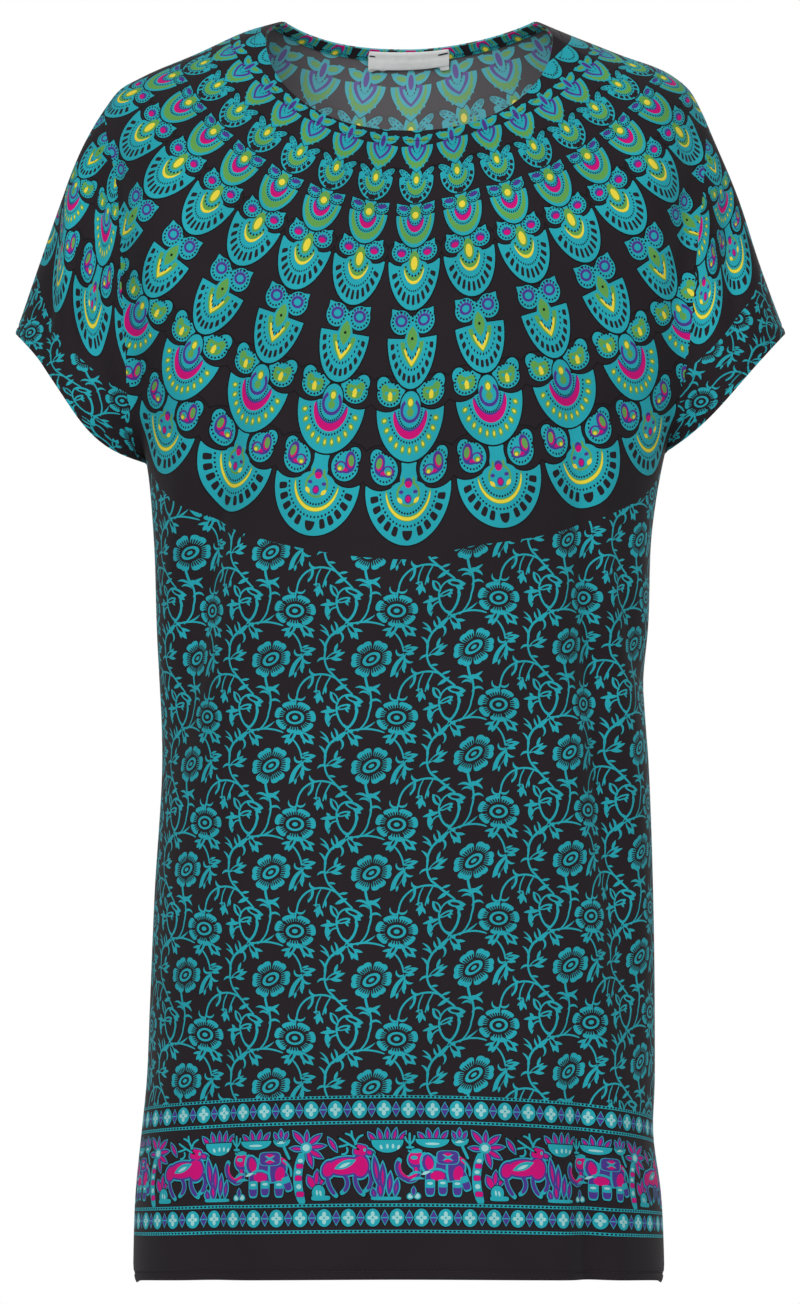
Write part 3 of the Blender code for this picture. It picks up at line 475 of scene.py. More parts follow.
# Each group is its inks, with how far each spreads past the edge, and then its shapes:
# oval, block, leaf, kite: x y w h turn                   half sizes w, h
# bowl, vee: x y w h top                                  the lower part of an oval or a leaf
# beads, panes: x y w h turn  pitch start reach spread thick limit   round or squared spots round
#   an oval, in degrees
# arc: x y w h turn  middle reach spread thick            a crescent round an oval
# stem, barb: x1 y1 x2 y2 x3 y3 thick                     a blunt or pointed stroke through places
# A fan's shapes are mirrored, y runs up to the neck and 0 is the level of its horns.
medallion = {
    "centre": {"front": (0.016, 0.052), "back": (0.0080, 0.1712)},
    "scale": {"front": 1.0, "back": 1.37},
    "tilt": {"front": -1.5, "back": 0.0}, "columns": 39,
}
scales = [
    (125.0, [
        ("line 0.7 teal 0", ("bowl", 0, 0, 9.4, 15.0, 0)),
        ("line 0", ("beads", 0, 0, 9.4, 15.0, 0, 15, 0, 0.74, 4.2, 0.06, 85))]),
    (151.5, [
        ("line 0.7 teal 0", ("oval", 4.5, 4.8, 5.3, 3.1, 25), ("kite", 8.2, 7.2, 2.8, 2.4, 30)),
        ("green 0", ("oval", 4.9, 5.5, 2.9, 1.6, 18)),
        ("line 0.7 teal 0", ("vee", 0, 0, 10.9, 19.2, 0.8)),
        ("green 0", ("arc", 0, 0, 10.7, 18.7, 0, 0, 0.74, 95, 0.12)),
        ("teal 0", ("beads", 0, 0, 10.7, 18.7, 0, 19, 1, 0.86, 3.2, 0.09, 90)),
        ("purple 0 teal -1.9", ("vee", 0, 0, 6.3, 11.0, 1.4)),
        ("line 0", ("beads", 0, 1.8, 3.5, 7.0, 0, 24, 1, 0.84, 8.5, 0.12, 100)),
        ("teal 1.1 purple 0", ("oval", 0, 3.4, 1.5, 4.6, 0))]),
    (177.0, [
        ("line 0.7 teal 0", ("oval", 7.7, 4.9, 5.7, 2.3, 44), ("oval", 0, 3.0, 3.8, 6.4, 0),
         ("bowl", 0, 0, 11.8, 16.4, 0.6), ("oval", 9.8, 1.2, 2.0, 2.2, -30)),
        ("line 0", ("beads", 7.7, 4.9, 4.4, 1.15, 44, 36, 0, 1.0, 7.4, 0.42, 360),
         ("beads", 0, 0, 11.8, 16.3, 0, 10.5, 0, 0.665, 2.9, 0.048, 84)),
        ("ground 0", ("panes", 0, 0, 11.8, 16.3, 0, 18.6, 0, 0.835, 6.2, 0.095, 84),
         ("block", 0, -14.2, 2.4, 2.0, 0)),
        ("green 0", ("arc", 0, 0, 11.6, 16.3, 0, 0, 0.50, 92, 0.12), ("oval", 0, 1.5, 2.6, 4.8, 0)),
        ("line 0", ("beads", 0, 0.6, 4.4, 6.0, 0, 26, 1, 0.86, 7.4, 0.12, 100)),
        ("yellow 0", ("oval", 0, 0.7, 1.5, 2.6, 0))]),
    (203.0, [
        ("line 0.7 teal 0", ("bowl", 0, 0, 13.2, 22.0, 0.8), ("block", 0, 4.2, 4.2, 6.4, 0)),
        ("line 0.7 teal 0", ("oval", 8.3, 4.9, 4.9, 4.0, 12), ("kite", 11.0, 7.4, 2.4, 3.2, -40)),
        ("line 0", ("beads", 8.3, 4.9, 3.7, 3.0, 12, 30, 0, 1.0, 10.0, 0.19, 360)),
        ("purple 0", ("oval", 8.5, 6.2, 3.1, 1.6, 18)),
        ("green 0", ("arc", 0, 0, 13.2, 21.6, 0, 0, 0.79, 94, 0.12), ("oval", 0, 2.4, 3.6, 5.4, 0)),
        ("teal 0", ("beads", 0, 0, 13.2, 21.6, 0, 13, 0, 0.93, 3.4, 0.055, 88)),
        ("line 0", ("beads", 0, 0, 13.2, 21.6, 0, 10, 0, 0.62, 2.9, 0.040, 88),
         ("beads", 0, 1.0, 5.2, 6.4, 0, 20, 0, 0.93, 6.0, 0.10, 92)),
        ("purple 0", ("arc", 0, 0, 13.2, 21.6, 0, 0, 0.40, 90, 0.115)),
        ("magenta 0", ("arc", 0, 0, 13.2, 21.6, 0, 0, 0.425, 78, 0.090)),
        ("yellow 0", ("oval", 0, 1.1, 2.1, 2.4, 0))]),
    (236.7, [
        ("line 0.8 teal 0", ("bowl", 0, 0, 17.7, 32.4, 1.4)),
        ("line 0.8 ground 0", ("oval", 9.8, 7.6, 8.6, 8.2, 0)),
        ("teal 0", ("block", 0, 4.0, 4.6, 8.6, 0), ("oval", 0, -2.0, 9.0, 4.4, 0)),
        ("line 0.8 teal 0", ("oval", 9.0, 8.2, 6.6, 6.6, 0), ("kite", 11.4, 12.4, 3.2, 4.8, -30)),
        ("line 0", ("beads", 9.0, 8.2, 5.1, 5.2, 0, 24, 0, 1.0, 7.0, 0.13, 360)),
        ("purple 0", ("oval", 8.9, 8.2, 3.3, 3.2, 0)),
        ("magenta 0", ("oval", 8.9, 7.2, 2.3, 1.9, 0)),
        ("teal 0", ("beads", 8.9, 8.2, 3.3, 3.2, 180, 36, 0, 1.0, 6.0, 0.34, 60)),
        ("line 0", ("beads", 0, 0, 17.6, 32.2, 0, 8.4, 0, 0.595, 2.3, 0.026, 80)),
        ("ground 0", ("panes", 0, 0, 17.6, 32.2, 0, 14.2, 0, 0.79, 3.8, 0.108, 78)),
        ("green 0", ("arc", 0, 0, 17.6, 32.4, 0, 0, 0.365, 84, 0.085), ("oval", 0, 1.4, 3.6, 7.8, 0)),
        ("line 0", ("beads", 0, 0, 6.2, 8.9, 0, 22, 1, 0.95, 6.0, 0.095, 94)),
        ("yellow 0", ("oval", 0, 0.4, 2.2, 4.8, 0),
         ("arc", 0, 0, 17.6, 32.4, 0, 0, 0.405, 74, 0.034))]),
    (289.5, [
        ("line 0.8 teal 0", ("bowl", 0, 0, 16.8, 34.0, 0.6)),
        ("line 0.8 teal 0", ("oval", 8.0, 12.0, 7.2, 8.5, 0), ("kite", 10.8, 16.8, 4.6, 5.6, -38),
         ("oval", 0, 10.6, 5.4, 6.0, 0)),
        ("line 0", ("beads", 8.0, 12.4, 5.7, 6.8, 0, 22, 0, 1.0, 6.4, 0.115, 360),
         ("oval", 0, 13.4, 0.8, 0.8, 0), ("oval", 0, 16.0, 0.8, 0.8, 0)),
        ("purple 0 teal -1.8", ("oval", 7.8, 13.0, 4.3, 4.3, 0)),
        ("purple 0", ("beads", 7.8, 13.0, 4.3, 4.3, 180, 26, 0, 1.18, 5.4, 0.20, 70)),
        ("ground 0", ("panes", 0, 0, 16.8, 33.8, 0, 14.4, 1, 0.815, 4.3, 0.078, 84)),
        ("line 0", ("beads", 0, 0, 16.8, 33.8, 0, 11.4, 0, 0.62, 2.5, 0.030, 84)),
        ("green 0", ("vee", 0, -1.4, 8.0, 18.4, -0.4)),
        ("yellow 0", ("vee", 0, -1.6, 6.2, 17.0, -5.0)),
        ("teal 0", ("vee", 0, -0.6, 5.2, 14.4, 2.0)),
        ("line 0", ("beads", 0, -0.6, 5.2, 14.4, 0, 24, 1, 0.84, 6.0, 0.08, 82)),
        ("teal 1.2 green 0", ("leaf", 0, 0.4, 3.6, 8.8, 0)),
        ("line 0", ("oval", 0, 0.6, 0.9, 1.1, 0))]),
    (339.3, [
        ("line 0.8 teal 0", ("bowl", 0, 0, 23.1, 34.4, 2.0)),
        ("line 0.8 ground 0", ("oval", 16.9, 12.2, 12.4, 12.0, 0)),
        ("line 0.8 teal 0", ("oval", 14.4, 11.6, 8.6, 8.4, 0), ("oval", 18.4, 17.6, 4.8, 6.4, -12),
         ("oval", 8.4, 15.2, 4.4, 4.0, 8)),
        ("line 0", ("beads", 14.9, 12.6, 7.1, 7.9, -12, 18.9, 0, 1.0, 5.2, 0.10, 360)),
        ("green 0", ("oval", 14.0, 11.2, 5.6, 4.8, 0), ("oval", 17.6, 14.8, 2.6, 3.8, -12),
         ("oval", 10.4, 13.8, 2.2, 2.4, 0)),
        ("teal 0", ("oval", 16.7, 12.6, 1.2, 1.1, 0), ("oval", 11.6, 12.6, 1.2, 1.1, 0)),
        ("yellow 0", ("leaf", 14.2, 10.6, 1.5, 3.4, 0), ("oval", 14.2, 8.6, 1.5, 1.1, 0)),
        ("line 0.8 teal 0", ("oval", 0, 3.6, 6.9, 10.6, 0)),
        ("teal 0", ("bowl", 0, 0, 22.0, 33.6, -2.2), ("oval", 0, -2.0, 13.0, 5.2, 0)),
        ("purple 0 teal -1.9", ("oval", 0, 0.8, 6.9, 8.6, 0)),
        ("teal 0", ("oval", 0, 8.6, 4.0, 4.6, 0)),
        ("green 0", ("oval", 0, 6.3, 2.4, 4.0, 0), ("oval", 0, -0.4, 2.3, 2.9, 0)),
        ("yellow 0", ("oval", 0, 6.3, 1.6, 2.5, 0)),
        ("line 0", ("beads", 0, 0, 23.1, 33.7, 0, 9.4, 0, 0.345, 3.4, 0.026, 94),
         ("beads", 0, 0, 23.1, 33.7, 0, 7.8, 0, 0.635, 2.1, 0.025, 84)),
        ("purple 0", ("arc", 0, 0, 23.1, 33.7, 0, 0, 0.462, 92, 0.096)),
        ("magenta 0", ("arc", 0, 0, 23.1, 33.7, 0, 0, 0.484, 88, 0.080)),
        ("green 0", ("beads", 0, 0, 23.1, 33.7, 0, 15.2, 0, 0.79, 4.9, 0.098, 84)),
        ("yellow 0", ("beads", 0, 0, 23.1, 33.7, 0, 15.2, 0, 0.79, 2.2, 0.050, 84))]),
    (394.2, [
        ("line 0.8 teal 0", ("bowl", 0, 0, 29.6, 37.2, 3.0), ("block", 0, 12.0, 5.9, 9.6, 0)),
        ("line 0.8 ground 0", ("oval", 19.8, 15.8, 14.1, 15.2, 0)),
        ("line 0.8 teal 0", ("oval", 16.9, 14.4, 9.3, 10.4, 0), ("oval", 21.2, 21.2, 5.2, 7.6, -14)),
        ("line 0", ("beads", 17.9, 16.2, 7.5, 10.2, -16, 16.4, 0, 1.0, 4.4, 0.082, 360)),
        ("purple 0 magenta -1.3", ("oval", 20.2, 18.2, 3.6, 7.2, 8), ("oval", 14.2, 13.4, 4.2, 4.2, 0),
         ("oval", 17.4, 12.2, 4.4, 2.6, 0)),
        ("green 0", ("oval", 20.6, 19.0, 1.9, 3.8, 10)),
        ("teal 0", ("oval", 14.4, 13.8, 2.5, 2.7, 0)),
        ("green 0", ("oval", 13.9, 12.6, 2.2, 2.0, 0)),
        ("yellow 0", ("oval", 13.7, 12.2, 1.2, 1.2, 0)),
        ("teal 0", ("bowl", 0, 0, 28.6, 36.0, -1.4), ("oval", 0, 0.0, 12.4, 7.6, 0)),
        ("green 0 teal -1.5", ("oval", 0, -1.8, 8.2, 9.0, 0), ("oval", 0, 7.0, 4.6, 4.6, 0)),
        ("teal 0", ("oval", 0, 11.4, 3.6, 4.2, 0)),
        ("ground 0", ("panes", 0, 0, 29.6, 37.0, 0, 14.2, 1, 0.80, 4.5, 0.094, 86)),
        ("teal 0", ("oval", 0, -29.6, 6.0, 4.6, 0)),
        ("ground 0", ("bowl", 0, -28.0, 3.4, 6.0, 0.9)),
        ("line 0", ("beads", 0, 0, 29.6, 37.0, 0, 9.4, 0, 0.415, 3.0, 0.022, 90),
         ("beads", 0, 0, 29.6, 37.0, 0, 7.6, 0, 0.655, 1.9, 0.023, 87)),
        ("green 0", ("arc", 0, 0, 29.6, 37.0, 0, 0, 0.510, 92, 0.050)),
        ("yellow 0", ("arc", 0, 0, 29.6, 37.0, 0, 0, 0.514, 86, 0.032),
         ("leaf", 5.7, -6.2, 1.4, 2.6, -38)),
        ("purple 0", ("oval", 4.9, -0.4, 1.6, 1.3, 0), ("oval", 0, 6.2, 2.8, 3.4, 0),
         ("leaf", -1.7, 9.0, 0.8, 2.6, 14)),
        ("purple 0 magenta -0.8", ("oval", 0, -5.2, 2.4, 3.2, 0)),
        ("magenta 0", ("oval", 0, 4.8, 2.4, 2.4, 0))]),
]
# how far out, in mm, one ring's material hands over to the next
handOver = [155, 180, 206, 245, 289, 344, 405, 437]

vine = {
    "tile": (70.8, 73.8), "origin": (-73.1, -424.0), "grow": 0.967, "cells": (4, 4), "from": 441.0,
}
vineShapes = [
    ("teal 0", ("panes", 0, 0, 15.3, 11.7, -6, 51.43, 0, 0.75, 22.6, 0.25, 360),
     ("panes", 55.2, -34.5, 15.2, 12.6, 30, 60, 0, 0.72, 26.0, 0.24, 360),
     ("beads", 55.2, -34.5, 15.2, 12.6, 30, 60, 0.38, 0.87, 13.5, 0.135, 360),
     ("leaf", -3.2, -14.2, 2.3, 6.3, -48), ("leaf", -6.5, -13.3, 1, 3.9, -78),
     ("leaf", -5.3, -15.4, 1, 3.2, -55), ("leaf", -3.3, -16.2, 1.4, 3.8, -28),
     ("leaf", 8, -14.2, 2.8, 6.6, 49), ("leaf", 11.3, -13.5, 1.1, 3.5, 73),
     ("leaf", 10.9, -16.6, 1.4, 3.8, 47), ("leaf", 6.7, -15.8, 1.2, 3.3, 4),
     ("oval", 0.4, -10, 2, 5.5, 80), ("stem", -1.9, -15.5, 2.5, -21.2, 4.8, -28.8, 0.65),
     ("leaf", 10, -28, 1.9, 5.5, -82), ("leaf", 7.7, -25.5, 0.8, 2.9, -72),
     ("leaf", 10.2, -30.3, 1, 2.7, 53), ("leaf", 9.2, -31, 1.1, 3.5, -88),
     ("barb", 5, -30.7, 1.5, -31.6, -0.2, -28.1, 0.84), ("leaf", 0.9, -39.3, 2.8, 9.9, -34),
     ("leaf", 0.7, -36.8, 0.9, 2.6, -50), ("leaf", -1, -41, 1.1, 2.9, -47),
     ("leaf", 0.3, -45.4, 0.9, 2.6, -11), ("leaf", 4.9, -41.8, 1, 3, 13),
     ("barb", 5, -31.9, 6.9, -36.1, 11.1, -37.2, 1.00), ("leaf", 5.7, -38.4, 1.1, 3.5, 10),
     ("stem", 50.8, -45.7, 51.7, -51.8, 53.9, -58.3, 0.92),
     ("barb", 44.3, -54.7, 48.7, -54.6, 53.3, -58.3, 0.92),
     ("barb", 46.8, -58.6, 49.4, -57.7, 53.3, -59.9, 0.77),
     ("barb", 52.5, -56.8, 56.3, -55.5, 60.9, -52.9, 1.15),
     ("barb", 52.5, -56, 57.1, -56.3, 61.1, -59.4, 1.15), ("leaf", 54.8, -55.8, 1.7, 3.1, 89),
     ("stem", 53.7, -56.4, 55, -64.1, 53.1, -73.4, 0.69),
     ("barb", 53.9, -66, 57.1, -63.6, 61.9, -65.2, 0.84),
     ("stem", 53.6, -71.8, 51, -79.7, 45.2, -85.7, 0.61)),
    ("teal 0", ("stem", 64, -10.5, 52.5, -8.1, 39.5, -9.9, 0.65),
     ("barb", 46, -8.9, 51.7, -7, 57.6, -3.1, 0.69),
     ("stem", 41, -9.1, 33.3, -12.5, 27.6, -17.1, 1.00),
     ("stem", 29.1, -15.5, 23.4, -21.9, 22, -30.5, 0.84),
     ("stem", 22.1, -28.9, 22.2, -37.4, 26.1, -44.6, 0.69),
     ("stem", 25.3, -43.1, 32.6, -51, 41.4, -59.5, 0.73),
     ("barb", 18.6, -9.9, 22.2, -13.1, 24.9, -18.8, 0.69),
     ("barb", 18.8, -13.9, 22.6, -15.8, 25.3, -19.6, 0.69),
     ("barb", 26.6, -10.4, 27.4, -13.3, 29.5, -16.3, 0.84),
     ("barb", 28.9, -8, 30.4, -10.9, 30.4, -15.1, 0.84),
     ("barb", 30.3, -14.7, 34.5, -17.7, 33.3, -22.5, 0.84),
     ("barb", 18, -20.4, 21.1, -23.6, 22.6, -28.9, 0.84), ("leaf", 27.8, -31.4, 1.5, 7, -58),
     ("leaf", 29.6, -31.9, 1.6, 7.4, -71), ("leaf", 29.8, -26.5, 1.1, 3.6, -23),
     ("leaf", 30, -34.6, 1.2, 4.3, 84), ("barb", 23, -34.7, 19.5, -34.1, 16.6, -36, 0.84),
     ("leaf", 26.9, -41.9, 0.8, 2.8, 83), ("leaf", 41.9, -15, 2.5, 6.8, 35),
     ("leaf", 45.1, -13.8, 1.1, 4.2, 76), ("leaf", 41.2, -16.9, 1.1, 3.3, 3),
     ("oval", 37.4, -7.2, 0.8, 3.3, 40)),
    ("teal 0", ("stem", 32.6, -50.2, 24.9, -46.2, 14.9, -45.7, 0.69),
     ("barb", 16.1, -45.4, 12.6, -45.1, 10.7, -41.9, 0.92),
     ("stem", 18, -45.5, 6.5, -50.4, 1.5, -61.8, 0.69), ("stem", 1.6, -61, 0.5, -64.5, 0.5, -68.8, 0.61),
     ("barb", -4.7, -59.5, -3.1, -63.5, 1.5, -62.9, 0.77),
     ("barb", 0.8, -61.8, 4.6, -63.6, 7.4, -61.6, 0.77), ("leaf", 11.6, -51.2, 1.6, 5.3, -24),
     ("stem", 18.8, -46.5, 16.3, -51.6, 15.4, -58.6, 0.50),
     ("stem", 25.7, -47.5, 22.6, -52.9, 20.5, -59.2, 0.57), ("leaf", 17, -61.5, 1.8, 5, -10),
     ("leaf", 15.3, -57.4, 0.7, 2, -77), ("leaf", 15.4, -61.1, 0.8, 2.3, -52),
     ("leaf", 19.3, -62.7, 0.9, 3.3, 23), ("leaf", 22.3, -56.1, 0.9, 3.2, 2),
     ("leaf", 35.2, -49.2, 0.9, 3.4, -83), ("leaf", 33.5, -54.8, 1.4, 4.9, -65),
     ("leaf", 28.5, -62.3, 2.5, 5.6, 32), ("stem", 30.7, -66.9, 33.3, -62.2, 41.4, -60.3, 0.61),
     ("oval", 42.5, -63, 2.5, 6.6, 68), ("leaf", 46.1, -63.7, 1.1, 3.8, 67),
     ("leaf", 45, -66.8, 1.5, 3.2, 63), ("leaf", 44.6, -70.6, 1.1, 3.1, 16),
     ("oval", 35.3, -68.7, 1.8, 5.1, -75), ("leaf", 37.3, -70.5, 0.9, 2.8, 35),
     ("leaf", 37.9, -69.2, 0.9, 2.5, 67), ("stem", 30.4, -66.5, 31.4, -75.8, 37.6, -84, 0.73),
     ("stem", 44.1, -67.6, 43.7, -76.1, 37.8, -84, 0.92), ("leaf", 24.7, -71.7, 1.4, 6, -85),
     ("leaf", 24.5, -69.8, 1.2, 2.4, 40), ("leaf", 21.7, -71.9, 0.9, 3.3, -81),
     ("leaf", 23.8, -77.3, 2, 5.9, 8), ("stem", 31.4, -74.1, 27.2, -74.8, 24.9, -78.7, 0.54),
     ("stem", 38.1, -82.9, 36, -87.6, 30.9, -92.4, 0.84),
     ("stem", 36.8, -82.5, 38.6, -85.5, 41.4, -86.8, 0.69)),
    ("ground 0", ("beads", 0, 0, 15.3, 11.7, -6, 10.286, 0, 0.61, 3.7, 0.18, 360),
     ("beads", 55.2, -34.5, 15.2, 12.6, 30, 10, 0, 0.60, 3.6, 0.18, 360), ("oval", 0, 0, 8.7, 6.8, 0),
     ("oval", 55.2, -34.5, 8.6, 6.2, 30), ("leaf", -2.6, -13.2, 0.8, 2.8, -32),
     ("leaf", 8.1, -14, 1.1, 3.5, 42), ("leaf", 8.6, -28, 0.5, 2.7, -81),
     ("leaf", 2.1, -39.7, 1.1, 6.3, -29), ("leaf", 27.3, -32.1, 0.9, 3.8, -63),
     ("leaf", 40.9, -13.2, 1.1, 3.7, 41), ("leaf", 10.7, -51.2, 0.7, 3.2, -23),
     ("leaf", 28.9, -62.2, 1, 3.9, 28), ("oval", 41.8, -63, 1.1, 3.7, 68),
     ("oval", 35, -68.9, 0.7, 3.2, -75), ("leaf", 27.1, -77.5, 0.7, 4.4, -44),
     ("leaf", 16.9, -58.5, 0.3, 0.9, -26), ("oval", 37.3, -86.1, 0.5, 1.2, -55)),
    ("teal 0 ground -1.5", ("oval", 0, 0, 6.7, 4.8, 0), ("oval", 55.2, -34.5, 6.9, 4.1, 30)),
    ("teal 0", ("oval", 0, 0, 2.1, 1.5, 0), ("oval", 55.2, -34.5, 2.2, 1.2, 30)),
]

